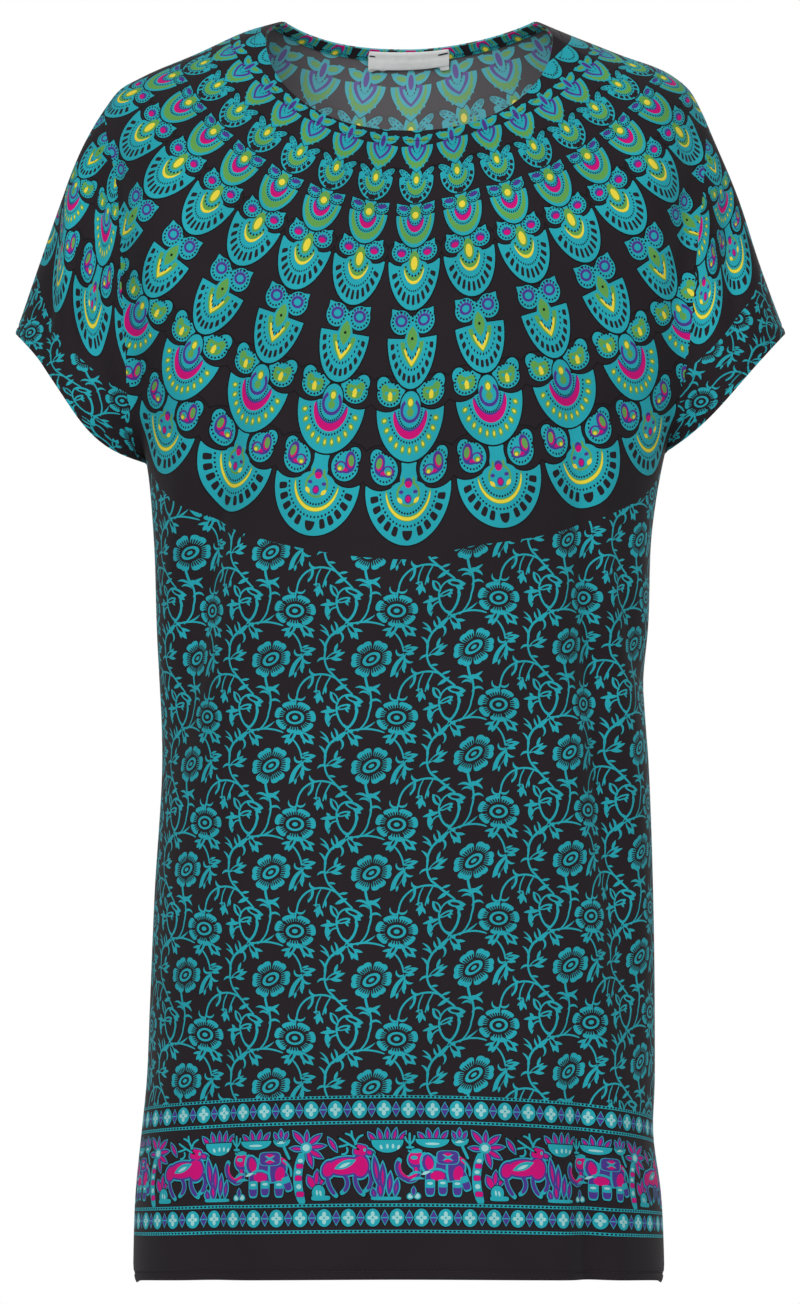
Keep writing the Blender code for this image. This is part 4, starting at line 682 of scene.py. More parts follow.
border = {
    "repeat": 123.8, "origin": -96.0, "cells": 7, "height": 126.6,
    "stripes": (-0.9, -18.5, -75.3, -93.4), "stripeHalf": 1.1, "dotPitch": 2.97,
    "discRows": ((-9.5, 34.5), (-83.9, 43.6)), "discPitch": 16.8,
    "friezeMiddle": -47.0, "friezeHalf": 60.0, "stripePitch": 20.0, "once": 1000.0,
}
animal = "line 0.7 teal 0 purple -0.9 magenta -2.1"
hide = "line 0.7 teal 0 purple -0.9"
plant = "line 0.6 teal 0 purple -0.6 magenta -1.7"
borderShapes = [
    (hide, ("oval", 5.6, -49.2, 12.4, 10.4, 0), ("oval", -16.6, -44.3, 6.6, 6.9, 0),
     ("oval", -8.8, -46.6, 5.4, 7.4, 0),
     ("stem", -28.6, -45.2, -27.6, -54.4, -22.4, -57.6, 2.3),
     ("stem", -22.6, -57.6, -17.6, -56.4, -17.0, -49.6, 2.8),
     ("block", -7.1, -60.6, 3.5, 9.0, 0), ("block", 1.7, -60.6, 3.3, 8.4, 0),
     ("block", 11.8, -60.6, 3.4, 9.0, 0), ("block", 17.0, -58.4, 3.0, 7.6, 20)),
    ("magenta 0", ("oval", -16.9, -43.0, 4.9, 4.6, 0), ("oval", -1.8, -55.2, 5.0, 3.2, 0),
     ("oval", 12.4, -53.4, 3.4, 5.2, -10), ("leaf", -7.6, -46.8, 2.8, 5.6, 12),
     ("leaf", 15.4, -44.4, 1.6, 3.6, 40),
     ("stem", -27.8, -47.4, -26.4, -53.6, -22.2, -56.2, 0.8),
     ("stem", -21.0, -56.4, -17.6, -54.8, -16.8, -50.4, 1.1)),
    ("purple 0", ("block", -7.1, -65.2, 2.8, 1.4, 0), ("block", 1.7, -65.2, 2.7, 1.4, 0),
     ("block", 11.8, -65.2, 2.8, 1.4, 0), ("block", 18.2, -62.6, 2.3, 1.3, 20)),
    ("teal 0", ("block", -7.1, -60.6, 3.4, 2.9, 0), ("block", 1.7, -60.4, 3.2, 2.7, 0),
     ("block", 11.8, -60.6, 3.3, 2.7, 0), ("block", 16.8, -57.4, 2.9, 2.2, 20),
     ("stem", -11.0, -39.6, -13.4, -46.4, -10.2, -52.8, 0.8),
     ("stem", -4.6, -42.0, -3.6, -47.8, -6.4, -52.6, 0.8),
     ("stem", 4.8, -46.9, 4.6, -52.6, 5.6, -58.0, 0.8),
     ("stem", -7.6, -51.9, -1.4, -50.6, 4.2, -52.8, 0.8), ("oval", -18.0, -42.8, 2.4, 1.3, 0),
     ("oval", -17.4, -38.2, 5.0, 1.6, 0), ("stem", 15.2, -44.0, 19.6, -48.9, 20.4, -54.4, 0.8),
     ("barb", -21.6, -55.4, -18.4, -53.2, -13.4, -53.4, 1.0),
     ("barb", -20.4, -58.6, -16.0, -57.0, -11.6, -57.2, 1.0)),
    ("pale 0", ("oval", -7.1, -60.4, 2.0, 0.9, 0), ("oval", 1.7, -60.0, 2.0, 0.9, 0),
     ("oval", 11.8, -60.4, 2.0, 0.9, 0), ("leaf", -10.0, -53.2, 1.0, 3.4, -70)),
    ("teal 0 purple -0.8", ("block", 5.2, -42.5, 8.0, 4.9, 0)),
    ("magenta 0", ("leaf", 5.2, -40.4, 1.2, 3.2, 90), ("leaf", 5.2, -44.6, 1.2, 3.2, 90)),
    ("teal 0", ("leaf", 5.2, -42.5, 0.7, 4.6, 60), ("leaf", 5.2, -42.5, 0.7, 4.6, -60),
     ("oval", 5.2, -42.5, 1.3, 1.0, 0)),
    ("line 0.6 teal 0", ("stem", 28.2, -40.5, 25.1, -55.3, 27.7, -71.5, 3.1)),
    ("purple 0 magenta -0.7", ("block", 26.5, -48.0, 2.7, 1.9, 0), ("block", 25.5, -56.3, 2.7, 2.1, 0),
     ("block", 26.9, -67.4, 3.0, 2.1, 0)),
    ("pale 0", ("oval", 27.0, -44.3, 1.8, 1.3, 0), ("oval", 25.5, -52.2, 1.8, 1.3, 0),
     ("oval", 25.9, -62.1, 1.8, 1.7, 0)),
    (plant, ("leaf", 25.8, -28.6, 2.9, 7.4, 39), ("leaf", 31.4, -28.4, 2.2, 6.0, -4),
     ("leaf", 36.8, -30.0, 2.8, 7.4, -52),
     ("leaf", 38.6, -34.8, 2.6, 7.6, -84), ("leaf", 37.2, -39.6, 2.8, 7.6, 60),
     ("leaf", 33.6, -43.0, 2.8, 7.8, 16),
     ("leaf", 24.6, -36.0, 2.4, 6.2, 84)),
    ("teal 0 pale -1.4", ("oval", 31.0, -35.4, 4.0, 3.8, 0)),
    (plant, ("leaf", 34.7, -59.4, 3.6, 6.6, 28), ("leaf", 38.3, -56.4, 2.8, 6.8, -4),
     ("leaf", 42.3, -58.0, 2.5, 6.0, -24)),
    ("line 0.6 teal 0", ("oval", 39.7, -66.4, 4.6, 5.2, 0), ("block", 41.2, -70.2, 6.6, 1.7, 0)),
    ("pale 0", ("oval", 38.6, -66.4, 0.7, 1.9, 8), ("oval", 41.0, -66.8, 0.7, 1.9, 12)),
    (animal, ("oval", 58.0, -48.6, 15.4, 7.6, 4), ("oval", 68.6, -48.6, 7.4, 9.6, 0),
     ("oval", 46.6, -50.6, 5.8, 7.6, -20),
     ("block", 68.6, -37.6, 5.4, 4.6, -12), ("oval", 74.8, -39.3, 4.6, 3.2, -18),
     ("stem", 45.6, -54.0, 47.4, -62.2, 51.6, -68.4, 1.9),
     ("stem", 55.0, -53.0, 59.8, -60.3, 56.4, -66.4, 1.9),
     ("stem", 65.6, -53.0, 65.6, -60.3, 70.4, -67.6, 1.9),
     ("stem", 73.2, -50.4, 76.2, -58.5, 72.6, -65.0, 1.9)),
    ("teal 0", ("leaf", 58.2, -47.2, 2.7, 8.2, -68), ("oval", 71.6, -37.4, 0.9, 1.2, 0)),
    ("pale 0", ("leaf", 57.8, -47.8, 1.1, 4.4, -66)),
    ("line 0.5 teal 0", ("stem", 65.4, -36.0, 61.0, -33.5, 54.5, -29.4, 0.7),
     ("stem", 65.1, -33.5, 63.3, -28.9, 58.7, -26.1, 0.7),
     ("stem", 64.2, -30.8, 62.8, -27.0, 62.6, -24.6, 0.7),
     ("stem", 65.6, -33.4, 67.0, -29.4, 70.2, -27.3, 0.7),
     ("stem", 60.4, -33.6, 57.4, -34.4, 54.2, -35.0, 0.7),
     ("stem", 59.4, -36.0, 58.8, -39.6, 56.2, -40.2, 0.7)),
    (plant, ("leaf", -12.8, -28.4, 2.3, 4.8, 42), ("leaf", -7.8, -27.0, 2.3, 5.4, 14),
     ("leaf", -2.6, -26.8, 2.3, 5.4, -14),
     ("leaf", 2.5, -27.8, 2.2, 5.2, -36)),
    ("line 0.6 teal 0", ("bowl", -5.5, -30.4, 11.6, 5.6, 0.4), ("bowl", 13.7, -29.8, 6.0, 4.8, 0.4),
     ("stem", 14.6, -33.0, 17.0, -38.4, 19.0, -42.4, 1.0)),
    ("pale 0", ("oval", -5.5, -33.2, 5.0, 0.8, 0), ("oval", 13.4, -31.4, 3.0, 0.9, 8)),
    (plant, ("leaf", 9.7, -27.3, 2.0, 4.0, 24), ("leaf", 13.2, -25.6, 2.2, 4.4, 0),
     ("leaf", 16.8, -27.1, 2.0, 4.0, -24),
     ("leaf", 49.4, -33.5, 2.5, 7.0, 32)),
    (plant, ("leaf", 76.9, -29.2, 2.5, 5.8, 38), ("leaf", 82.2, -27.6, 2.3, 5.8, 16),
     ("leaf", 87.3, -27.0, 2.2, 5.6, 0),
     ("leaf", 92.4, -27.2, 2.3, 5.8, -14), ("leaf", 97.3, -28.8, 2.3, 5.8, -34)),
    ("line 0.6 teal 0", ("bowl", 87.3, -31.2, 11.0, 8.2, 0.6)),
    ("pale 0", ("oval", 83.0, -35.6, 0.9, 1.6, 20), ("oval", 87.3, -35.0, 0.9, 1.6, 0),
     ("oval", 91.2, -35.0, 0.9, 1.6, 0),
     ("oval", 95.0, -35.6, 0.9, 1.6, -20)),
    ("line 0.5 teal 0", ("stem", -20.8, -35.8, -21.1, -31.2, -21.1, -26.4, 0.8),
     ("stem", -20.8, -33.2, -23.1, -31.2, -24.2, -28.8, 0.7),
     ("stem", -20.6, -33.2, -18.7, -31.2, -17.8, -28.0, 0.7), ("oval", -20.8, -35.8, 3.0, 0.9, 0)),
    ("line 0.6 teal 0 purple -0.9 magenta -2.5", ("leaf", 79.5, -51.6, 3.2, 12.6, 8),
     ("leaf", 84.1, -56.2, 3.2, 12.0, 0), ("leaf", 88.9, -60.6, 3.0, 9.6, -4),
     ("leaf", 93.4, -63.4, 2.8, 7.6, -8), ("leaf", 82.4, -65.0, 3.4, 6.6, 6),
     ("leaf", 78.0, -67.2, 2.8, 4.8, 14)),
    ("teal 0", ("block", 86.4, -70.8, 10.4, 1.2, 0)),
    ("line 0.5 teal 0 pale -0.8", ("oval", -20.6, -69.2, 2.8, 2.3, 30),
     ("oval", -16.0, -69.0, 2.9, 2.4, -30)),
    ("line 0.5 teal 0 purple -0.6", ("leaf", -18.4, -65.8, 2.0, 3.8, 0)),
]


def addNode(tree, kind, settings=None, inputs=None, out=0):
    # adds a node, sets its properties and fills or links its sockets; gives one output
    made = tree.nodes.new("ShaderNode" + kind)
    for name, value in (settings or {}).items():
        setattr(made, name, value)
    for key, value in (inputs or {}).items():
        if isinstance(value, bpy.types.NodeSocket):
            tree.links.new(value, made.inputs[key])
        else:
            made.inputs[key].default_value = value
    return made.outputs[out]


def strokeAsArc(x1, y1, x2, y2, x3, y3, thick):
    # the circle through three places, as an arc of it round the middle one
    centre = np.linalg.solve(2 * np.array([[x2 - x1, y2 - y1], [x3 - x1, y3 - y1]]),
                             [x2 * x2 + y2 * y2 - x1 * x1 - y1 * y1,
                              x3 * x3 + y3 * y3 - x1 * x1 - y1 * y1])
    spokes = [complex(px - centre[0], py - centre[1]) for px, py in ((x1, y1), (x2, y2), (x3, y3))]
    radius = abs(spokes[1])
    half = sum(abs(np.angle(spokes[k] / spokes[1])) for k in (0, 2)) / 2
    middle = np.angle(spokes[0] / spokes[1] * spokes[2] / spokes[1]) / 2
    turn = np.degrees(np.angle(spokes[1]) + middle) + 90
    return ("arc", centre[0], centre[1], radius, radius, turn, 0, 1.0,
            np.degrees(half) + np.degrees(thick / radius), thick / radius)


def reachOf(shape):
    # the middle of a shape and a circle's radius that holds it
    if shape[0] in ("stem", "barb"):
        x1, y1, x2, y2, x3, y3, thick = shape[1:]
        return (x1 + x3) / 2, (y1 + y3) / 2, max(np.hypot(x3 - x1, y3 - y1) / 2,
                                                np.hypot(x2 - (x1 + x3) / 2, y2 - (y1 + y3) / 2)) + thick
    return shape[1], shape[2], max(shape[3], shape[4]) * (1.1 if shape[0] in ("beads", "panes") else 1)


edgeForms = {"stem": "square", "block": "square", "panes": "square", "barb": "thorn", "leaf": "lance",
             "vee": "lance", "kite": "kite"}


def edgeDistance(tree, place, shape, repeat, frames):
    # how far each place lies past a shape's edge in mm, less than 0 inside
    kind, *numbers = strokeAsArc(*shape[1:]) if shape[0] in ("stem", "barb") else shape
    form = edgeForms.get(shape[0], "round")
    x, y, w, h, turn = (float(n) for n in numbers[:5])
    top = None
    if kind in ("bowl", "vee"):
        top, turn = turn, 0.0
    middle = reachOf(shape)
    at = place
    if repeat:
        ends = [[middle[k] + s * repeat[k] / 2 for k in (0, 1)] + [s] for s in (1, -1)]
        at = addNode(tree, "VectorMath", {"operation": "WRAP"}, {0: place, 1: ends[0], 2: ends[1]})
    key = (x, y, w, h, turn)
    ringed = kind in ("beads", "panes", "arc")
    if ringed and key in frames:
        angle, reach = frames[key]
    else:
        local = addNode(tree, "Mapping", {"vector_type": "TEXTURE"},
                        {0: at, 1: (x, y, 0), 2: (0, 0, np.radians(turn)), 3: (w, h, 1)})
    edge = min(w, h)
    if ringed:
        if key not in frames:
            parts = addNode(tree, "SeparateXYZ", None, {0: local}).node
            down = addNode(tree, "Math", {"operation": "MULTIPLY"}, {0: parts.outputs[1], 1: -1.0})
            angle = addNode(tree, "Math", {"operation": "ARCTAN2"}, {0: parts.outputs[0], 1: down})
            reach = addNode(tree, "VectorMath", {"operation": "LENGTH"}, {0: local}, out=1)
            frames[key] = angle, reach
        if kind != "arc":
            pitch, start, ring, spread, thick, limit = numbers[5:]
            along = addNode(tree, "Math", {"operation": "PINGPONG"}, {0: angle, 1: np.radians(pitch) / 2})
            centre = np.radians(start * pitch / 2)
        else:
            centre, ring, spread, thick = np.radians(numbers[5]), *numbers[6:]
            along, limit = angle, 360
        at = addNode(tree, "CombineXYZ", None, {0: along, 1: reach})
        local = addNode(tree, "Mapping", {"vector_type": "TEXTURE"},
                        {0: at, 1: (centre, ring, 0), 3: (np.radians(spread), thick, 1)})
        edge *= thick
    if form in ("lance", "kite", "thorn"):
        flipped = addNode(tree, "VectorMath", {"operation": "ABSOLUTE"}, {0: local})
        parts = addNode(tree, "SeparateXYZ", None, {0: flipped}).node
        wide, high = parts.outputs[0], parts.outputs[1]
        if form == "thorn":
            wide, high = high, wide
        if form != "kite":
            high = addNode(tree, "Math", {"operation": "MULTIPLY"}, {0: high, 1: high})
        size = addNode(tree, "Math", {"operation": "ADD"}, {0: wide, 1: high})
    else:
        if form == "square":
            local = addNode(tree, "VectorMath", {"operation": "MULTIPLY"}, {0: local, 1: local})
        size = addNode(tree, "VectorMath", {"operation": "LENGTH"}, {0: local}, out=1)
    far = addNode(tree, "Math", {"operation": "MULTIPLY_ADD"}, {0: size, 1: edge, 2: -edge})
    if top is not None:
        high = addNode(tree, "SeparateXYZ", None, {0: at}, out=1)
        above = addNode(tree, "Math", {"operation": "SUBTRACT"}, {0: high, 1: y + top})
        far = addNode(tree, "Math", {"operation": "MAXIMUM"}, {0: far, 1: above})
    if ringed and limit < 360:
        turned = addNode(tree, "Math", {"operation": "ABSOLUTE"}, {0: angle})
        past = addNode(tree, "Math", {"operation": "SUBTRACT"}, {0: turned, 1: np.radians(limit)})
        far = addNode(tree, "Math", {"operation": "MAXIMUM"}, {0: far, 1: past})
    return far


def paint(tree, colour, place, groups, grow=1.0, repeat=None, within=None):
    # lays each group's inks over the colour so far, where its shapes are. The place comes in real
    # mm and is brought to the table's size. Within keeps to the shapes that come near a cell
    if grow != 1.0:
        place = addNode(tree, "VectorMath", {"operation": "SCALE"}, {0: place, "Scale": 1 / grow})
        repeat = [side / grow for side in repeat]
    frames = {}
    for words, *shapes in groups:
        union = None
        for shape in shapes:
            if within:
                x, y, reach = reachOf(shape)
                off = np.array([x, y]) - within[0]
                off -= np.round(off / repeat) * repeat
                if np.any(np.abs(off) > within[1] + reach):
                    continue
            far = edgeDistance(tree, place, shape, repeat, frames)
            union = far if union is None else addNode(tree, "Math", {"operation": "MINIMUM"},
                                                      {0: union, 1: far})
        if union is None:
            continue
        words = words.split()
        for ink, spread in zip(words[::2], words[1::2]):
            mask = addNode(tree, "Math", {"operation": "LESS_THAN"}, {0: union, 1: float(spread)})
            colour = addNode(tree, "Mix", {"data_type": "RGBA"},
                             {0: mask, 6: colour, 7: inks[ink]}, out=2)
    return colour


def chosenPlace(tree, title):
    # a vertex's flat place in mm, moved on to the sleeve's own print beyond the tuck
    base = addNode(tree, "Attribute", {"attribute_name": title + "Place"}, out=1)
    shift = addNode(tree, "Attribute", {"attribute_name": title + "Shift"}, out=1)
    beyond = addNode(tree, "Attribute", {"attribute_name": "beyondTuck"}, out=2)
    sleeve = addNode(tree, "Math", {"operation": "GREATER_THAN"}, {0: beyond, 1: 0.0})
    return addNode(tree, "VectorMath", {"operation": "MULTIPLY_ADD"}, {0: shift, 1: sleeve, 2: base})


def fanColumn(tree, place):
    # the place inside its own column of fans: x sideways from its middle, y up from the centre
    parts = addNode(tree, "SeparateXYZ", None, {0: place}).node
    down = addNode(tree, "Math", {"operation": "MULTIPLY"}, {0: parts.outputs[1], 1: -1.0})
    angle = addNode(tree, "Math", {"operation": "ARCTAN2"}, {0: parts.outputs[0], 1: down})
    reach = addNode(tree, "VectorMath", {"operation": "LENGTH"}, {0: place}, out=1)
    fold = addNode(tree, "Math", {"operation": "PINGPONG"}, {0: angle, 1: np.pi / medallion["columns"]})
    wide = addNode(tree, "Math", {"operation": "SINE"}, {0: fold})
    deep = addNode(tree, "Math", {"operation": "COSINE"}, {0: fold})
    deep = addNode(tree, "Math", {"operation": "MULTIPLY"}, {0: deep, 1: -1.0})
    spoke = addNode(tree, "CombineXYZ", None, {0: wide, 1: deep})
    return addNode(tree, "VectorMath", {"operation": "SCALE"}, {0: spoke, "Scale": reach})


def paintFans(tree, colour, rings):
    column = fanColumn(tree, chosenPlace(tree, "yoke"))
    for level, groups in rings[::-1]:
        at = addNode(tree, "VectorMath", {"operation": "ADD"}, {0: column, 1: (0, level, 0)})
        colour = paint(tree, colour, at, groups)
    return colour


def paintVine(tree, colour, cell):
    place = chosenPlace(tree, "print")
    at = addNode(tree, "VectorMath", {"operation": "SUBTRACT"}, {0: place, 1: (*vine["origin"], 0)})
    tile, grow, cells = np.array(vine["tile"]), vine["grow"], np.array(vine["cells"])
    size = tile / cells / grow
    middle = (np.array(cell) + 0.5) * size
    colour = paint(tree, colour, at, vineShapes, grow, list(tile),
                   (middle, size / 2 + panelMesh["cellSlack"] / grow))
    yoke = chosenPlace(tree, "yoke")
    reach = addNode(tree, "VectorMath", {"operation": "LENGTH"}, {0: yoke}, out=1)
    inside = addNode(tree, "Math", {"operation": "LESS_THAN"}, {0: reach, 1: vine["from"]})
    return addNode(tree, "Mix", {"data_type": "RGBA"}, {0: inside, 6: colour, 7: inks["ground"]}, out=2)


def paintBorder(tree, colour, cell):
    place = addNode(tree, "Attribute", {"attribute_name": "borderPlace"}, out=1)
    at = addNode(tree, "VectorMath", {"operation": "SUBTRACT"}, {0: place, 1: (border["origin"], 0, 0)})
    size, once = border["repeat"] / border["cells"], border["once"]
    middle = np.array([(cell + 0.5) * size, border["friezeMiddle"]])
    near = np.array([size / 2 + panelMesh["cellSlack"], border["friezeHalf"]])
    colour = paint(tree, colour, at, borderShapes, 1.0, [border["repeat"], once], (middle, near))
    for height in border["stripes"]:
        stripe = [("line 0.7 teal 0", ("block", 0, height, 40.0, border["stripeHalf"], 0)),
                  ("line 0", ("oval", 0, height, 0.95, 0.68, 0))]
        colour = paint(tree, colour, at, stripe[:1], 1.0, [border["stripePitch"], once])
        colour = paint(tree, colour, at, stripe[1:], 1.0, [border["dotPitch"], once])
    half = border["discPitch"] / 2
    for height, start in border["discRows"]:
        discs = [("teal 0", ("block", start, height, 12.0, 0.5, 0)),
                 ("line 0.7 teal 0", ("oval", start, height, 5.2, 6.1, 0)),
                 ("pale 0", ("oval", start, height + 2.4, 1.35, 1.9, 0),
                  ("oval", start, height - 2.4, 1.35, 1.9, 0),
                  ("oval", start + 2.0, height, 1.7, 1.3, 0), ("oval", start - 2.0, height, 1.7, 1.3, 0)),
                 ("teal 0", ("oval", start, height, 0.7, 0.7, 0)),
                 ("line 0.6 teal 0 purple -0.5", ("kite", start + half, height, 3.1, 5.7, 0)),
                 ("teal 0", ("block", start + half, height, 2.6, 0.35, 0))]
        colour = paint(tree, colour, at, discs, 1.0, [border["discPitch"], once])
    return colour


# Viscose voile: soft and matt with a faint sheen at grazing angles; its yarns, 0.3 mm apart, are
# drawn at 0.9 mm, and a slow unevenness of the dye at 60 mm.
voile = {
    "roughness": 0.78, "sheen": 0.06, "sheenRoughness": 0.5, "specular": 0.16,
    "yarnPitch": 0.9, "yarnDepth": 0.00004, "yarnStrength": 0.35, "yarnWander": 0.6,
    "dyeSize": 60.0, "dyeSpread": 0.10,
    # the wrong side's gain and lift: the print more pale as the dye is, raised further as painted light for
    # the glow through the thin cloth
    "wrongGainWithGlow": (1.3, 1.3, 1.3), "wrongLiftWithGlow": (0.125, 0.118, 0.122),
}


waveBand = 0.314  # a Wave node's scale for bands one unit apart


def startMaterial(name):
    # a new material, its node tree and its shader
    material = bpy.data.materials.new(name)
    material.use_nodes = True
    return material, material.node_tree, material.node_tree.nodes["Principled BSDF"]


def crossedRibs(tree, place, pitch, distortion=0.0):
    # the height of a plain weave, its ribs a pitch in mm apart both ways
    ribs = [addNode(tree, "TexWave", {"bands_direction": way},
                    {"Vector": place, "Scale": waveBand / pitch, "Distortion": distortion})
            for way in ("X", "Y")]
    return addNode(tree, "Math", {"operation": "ADD"}, {0: ribs[0], 1: ribs[1]})


def clothMaterial(name, printed):
    # the print, its wrong side more pale with a painted glow of light through the cloth, an uneven dye and
    # the weave's relief
    material, tree, finish = startMaterial(name)
    colour = printed(tree)
    place = addNode(tree, "Attribute", {"attribute_name": "printPlace"}, out=1)
    patches = addNode(tree, "TexNoise", None,
                      {"Vector": place, "Scale": 1 / voile["dyeSize"], "Detail": 2.0})
    dye = addNode(tree, "MapRange", None, {0: patches, 1: 0.3, 2: 0.7, 3: 1 - voile["dyeSpread"],
                                           4: 1 + voile["dyeSpread"]})
    colour = addNode(tree, "VectorMath", {"operation": "SCALE"}, {0: colour, "Scale": dye})
    wrong = addNode(tree, "Attribute", {"attribute_name": "wrongSide"}, out=2)
    # the wrong side: the print more pale as the dye is, and lighter still as painted light for light
    # shining through the thin cloth into the inside
    paleAndLitThrough = addNode(tree, "VectorMath", {"operation": "MULTIPLY_ADD"},
                    {0: colour, 1: voile["wrongGainWithGlow"], 2: voile["wrongLiftWithGlow"]})
    colour = addNode(tree, "Mix", {"data_type": "RGBA"}, {0: wrong, 6: colour, 7: paleAndLitThrough}, out=2)
    weave = crossedRibs(tree, place, voile["yarnPitch"], voile["yarnWander"])
    relief = addNode(tree, "Bump", None, {"Height": weave, "Strength": voile["yarnStrength"],
                                         "Distance": voile["yarnDepth"]})
    for socket, value in (("Roughness", voile["roughness"]), ("Sheen Weight", voile["sheen"]),
                          ("Sheen Roughness", voile["sheenRoughness"]),
                          ("Specular IOR Level", voile["specular"])):
        finish.inputs[socket].default_value = value
    tree.links.new(colour, finish.inputs["Base Color"])
    tree.links.new(relief, finish.inputs["Normal"])
    return material


# The panels' meshes: lengths in metres, sharp in degrees, and cellSlack the reach in mm of a face
# past its own cell of the print.
panelMesh = {"wall": 0.0015, "sharp": 50.0, "cellSlack": 4.2, "bakeSpan": 0.66, "bakeTop": 0.04,
             "bakeGap": 0.005}


def addPiece(name, places, quads, attributes=None, uv=None, materials=(), slots=None):
    # a smooth mesh at the origin from places in metres; attributes are per place, slots per face
    mesh = bpy.data.meshes.new(name)
    mesh.from_pydata(places.tolist(), [], quads.tolist())
    mesh.shade_smooth()
    mesh.set_sharp_from_angle(angle=np.radians(panelMesh["sharp"]))
    for title, values in (attributes or {}).items():
        kind, key = ("FLOAT_VECTOR", "vector") if values.ndim == 2 else ("FLOAT", "value")
        layer = mesh.attributes.new(title, kind, "POINT")
        layer.data.foreach_set(key, values.astype(np.float32).ravel())
    if uv is not None:
        layer = mesh.uv_layers.new(name="OFBake")
        layer.data.foreach_set("uv", uv.astype(np.float32).ravel())
    for material in materials:
        mesh.materials.append(material)
    if slots is not None:
        mesh.polygons.foreach_set("material_index", slots.astype(np.int32))
    made = bpy.data.objects.new(name, mesh)
    bpy.context.collection.objects.link(made)
    return made


def panelSheet(face):
    # outer places, normals and quads of the front or the back, with its creases
    left, right = (halfPanel(side, face) for side in sides)
    grid = np.concatenate([left, right[:-1][::-1]])
    quads = gridQuads(grid.shape[:2], ~np.isnan(grid[:, :, 0]))
    uncreased = grid.reshape(-1, 3)
    normals = outwardNormals(uncreased, quads)
    seamward = unit(normals * (1, 0, 1))
    places = uncreased + creasePush(np.nan_to_num(uncreased), creases[face])[:, None] * normals
    normals = outwardNormals(places, quads)
    seam, relief = np.zeros(grid.shape[:2], bool), np.zeros(grid.shape[:2])
    low, sleeve, steps = cut["facingRows"] + cut["yokeRows"], cut["sleeveColumns"], len(hemSteps)
    seam[[0, -1], :low + 1] = True
    seam[[sleeve, -sleeve - 1], low:] = True
    for columns, last in ((slice(0, sleeve), low + 1), (slice(-sleeve, None), low + 1),
                          (slice(sleeve, -sleeve), grid.shape[1])):
        relief[columns, last - steps:last] = hemRelief[::-1]
    relief[:, cut["facingRows"]] -= cut["stitchDip"]
    relief[seam] -= cut["seamGroove"]
    seam = seam.ravel()
    places = places + relief.reshape(-1, 1) * np.where(seam[:, None], seamward, normals)
    normals = outwardNormals(places, quads)
    normals[seam] = seamward[seam]
    corners = np.arange(seam.size).reshape(grid.shape[:2])
    normals[corners[[cut["sleeveColumns"], -cut["sleeveColumns"] - 1], low]] = (0, 0, -1)
    return {"shape": grid.shape[:2], "places": places, "normals": normals, "quads": quads,
            "view": np.nan_to_num(uncreased[:, [0, 2]]), "smooth": uncreased, "seam": seam}


def joinSeams(front, back):
    # the two panels meet all along their seams
    for title in ("places", "normals"):
        seam = front["seam"] & back["seam"]
        front[title][seam] = back[title][seam] = (front[title][seam] + back[title][seam]) / 2
    for sheet in (front, back):
        sheet["normals"][sheet["seam"]] = unit(sheet["normals"][sheet["seam"]])


def closedShell(outer, inner, quads):
    # quads of an outer and an inner sheet and a strip round their free edges; unused places out.
    # Part is 0 on the outer sheet, 1 on the inner one and 2 on the strip
    used = np.unique(quads)
    number = np.full(len(outer), -1)
    number[used] = np.arange(len(used))
    near = number[quads]
    across = np.cross(outer[quads[:, 2]] - outer[quads[:, 0]], outer[quads[:, 3]] - outer[quads[:, 1]])
    if np.einsum("ij,ij->i", across, (outer - inner)[quads].sum(axis=1)).sum() < 0:
        near = near[:, ::-1]
    far = near[:, ::-1] + len(used)
    edges = np.concatenate([near[:, [k, (k + 1) % 4]] for k in range(4)])
    known = set(map(tuple, edges.tolist()))
    rim = np.array([edge for edge in edges.tolist() if (edge[1], edge[0]) not in known])
    strip = np.stack([rim[:, 1], rim[:, 0], rim[:, 0] + len(used), rim[:, 1] + len(used)], axis=1)
    part = np.repeat([0, 1, 2], [len(near), len(far), len(strip)])
    return used, np.concatenate([near, far, strip]), part


# The cloth's materials, one for each zone of the print: a ring of fans with the next one under
# it, a cell of the vine's tile and a strip of the border's repeat.
zones = {"fans": [], "vine": [], "border": []}
clothMaterials = []
for k in range(len(handOver)):
    zones["fans"].append(len(clothMaterials))
    rings = scales[k:k + 2]
    clothMaterials.append(clothMaterial(
        "printedVoileFans_%d" % k, lambda tree, rings=rings: paintFans(tree, inks["ground"], rings)))
for i in range(vine["cells"][0]):
    for j in range(vine["cells"][1]):
        zones["vine"].append(len(clothMaterials))
        clothMaterials.append(clothMaterial(
            "printedVoileVine_%d_%d" % (i, j),
            lambda tree, cell=(i, j): paintVine(tree, inks["ground"], cell)))
for k in range(border["cells"]):
    zones["border"].append(len(clothMaterials))
    clothMaterials.append(clothMaterial(
        "printedVoileBorder_%d" % k, lambda tree, cell=k: paintBorder(tree, inks["ground"], cell)))
print(len(clothMaterials), "printed materials made")


def zoneOf(yoke, printed, borderX, inBorder):
    # the material of each face from the flat place of its middle, all in mm
    reach = np.linalg.norm(yoke, axis=1)
    slots = np.array(zones["fans"])[np.minimum(np.searchsorted(handOver, reach), len(handOver) - 1)]
    cells = np.array(vine["cells"])
    cell = np.floor((printed - vine["origin"]) / vine["tile"] % 1 * cells).astype(int) % cells
    vineSlots = np.array(zones["vine"])[cell[:, 0] * cells[1] + cell[:, 1]]
    strip = np.floor((borderX - border["origin"]) / border["repeat"] % 1 * border["cells"]).astype(int)
    borderSlots = np.array(zones["border"])[strip % border["cells"]]
    return np.where(inBorder, borderSlots, np.where(reach > handOver[-1], vineSlots, slots))


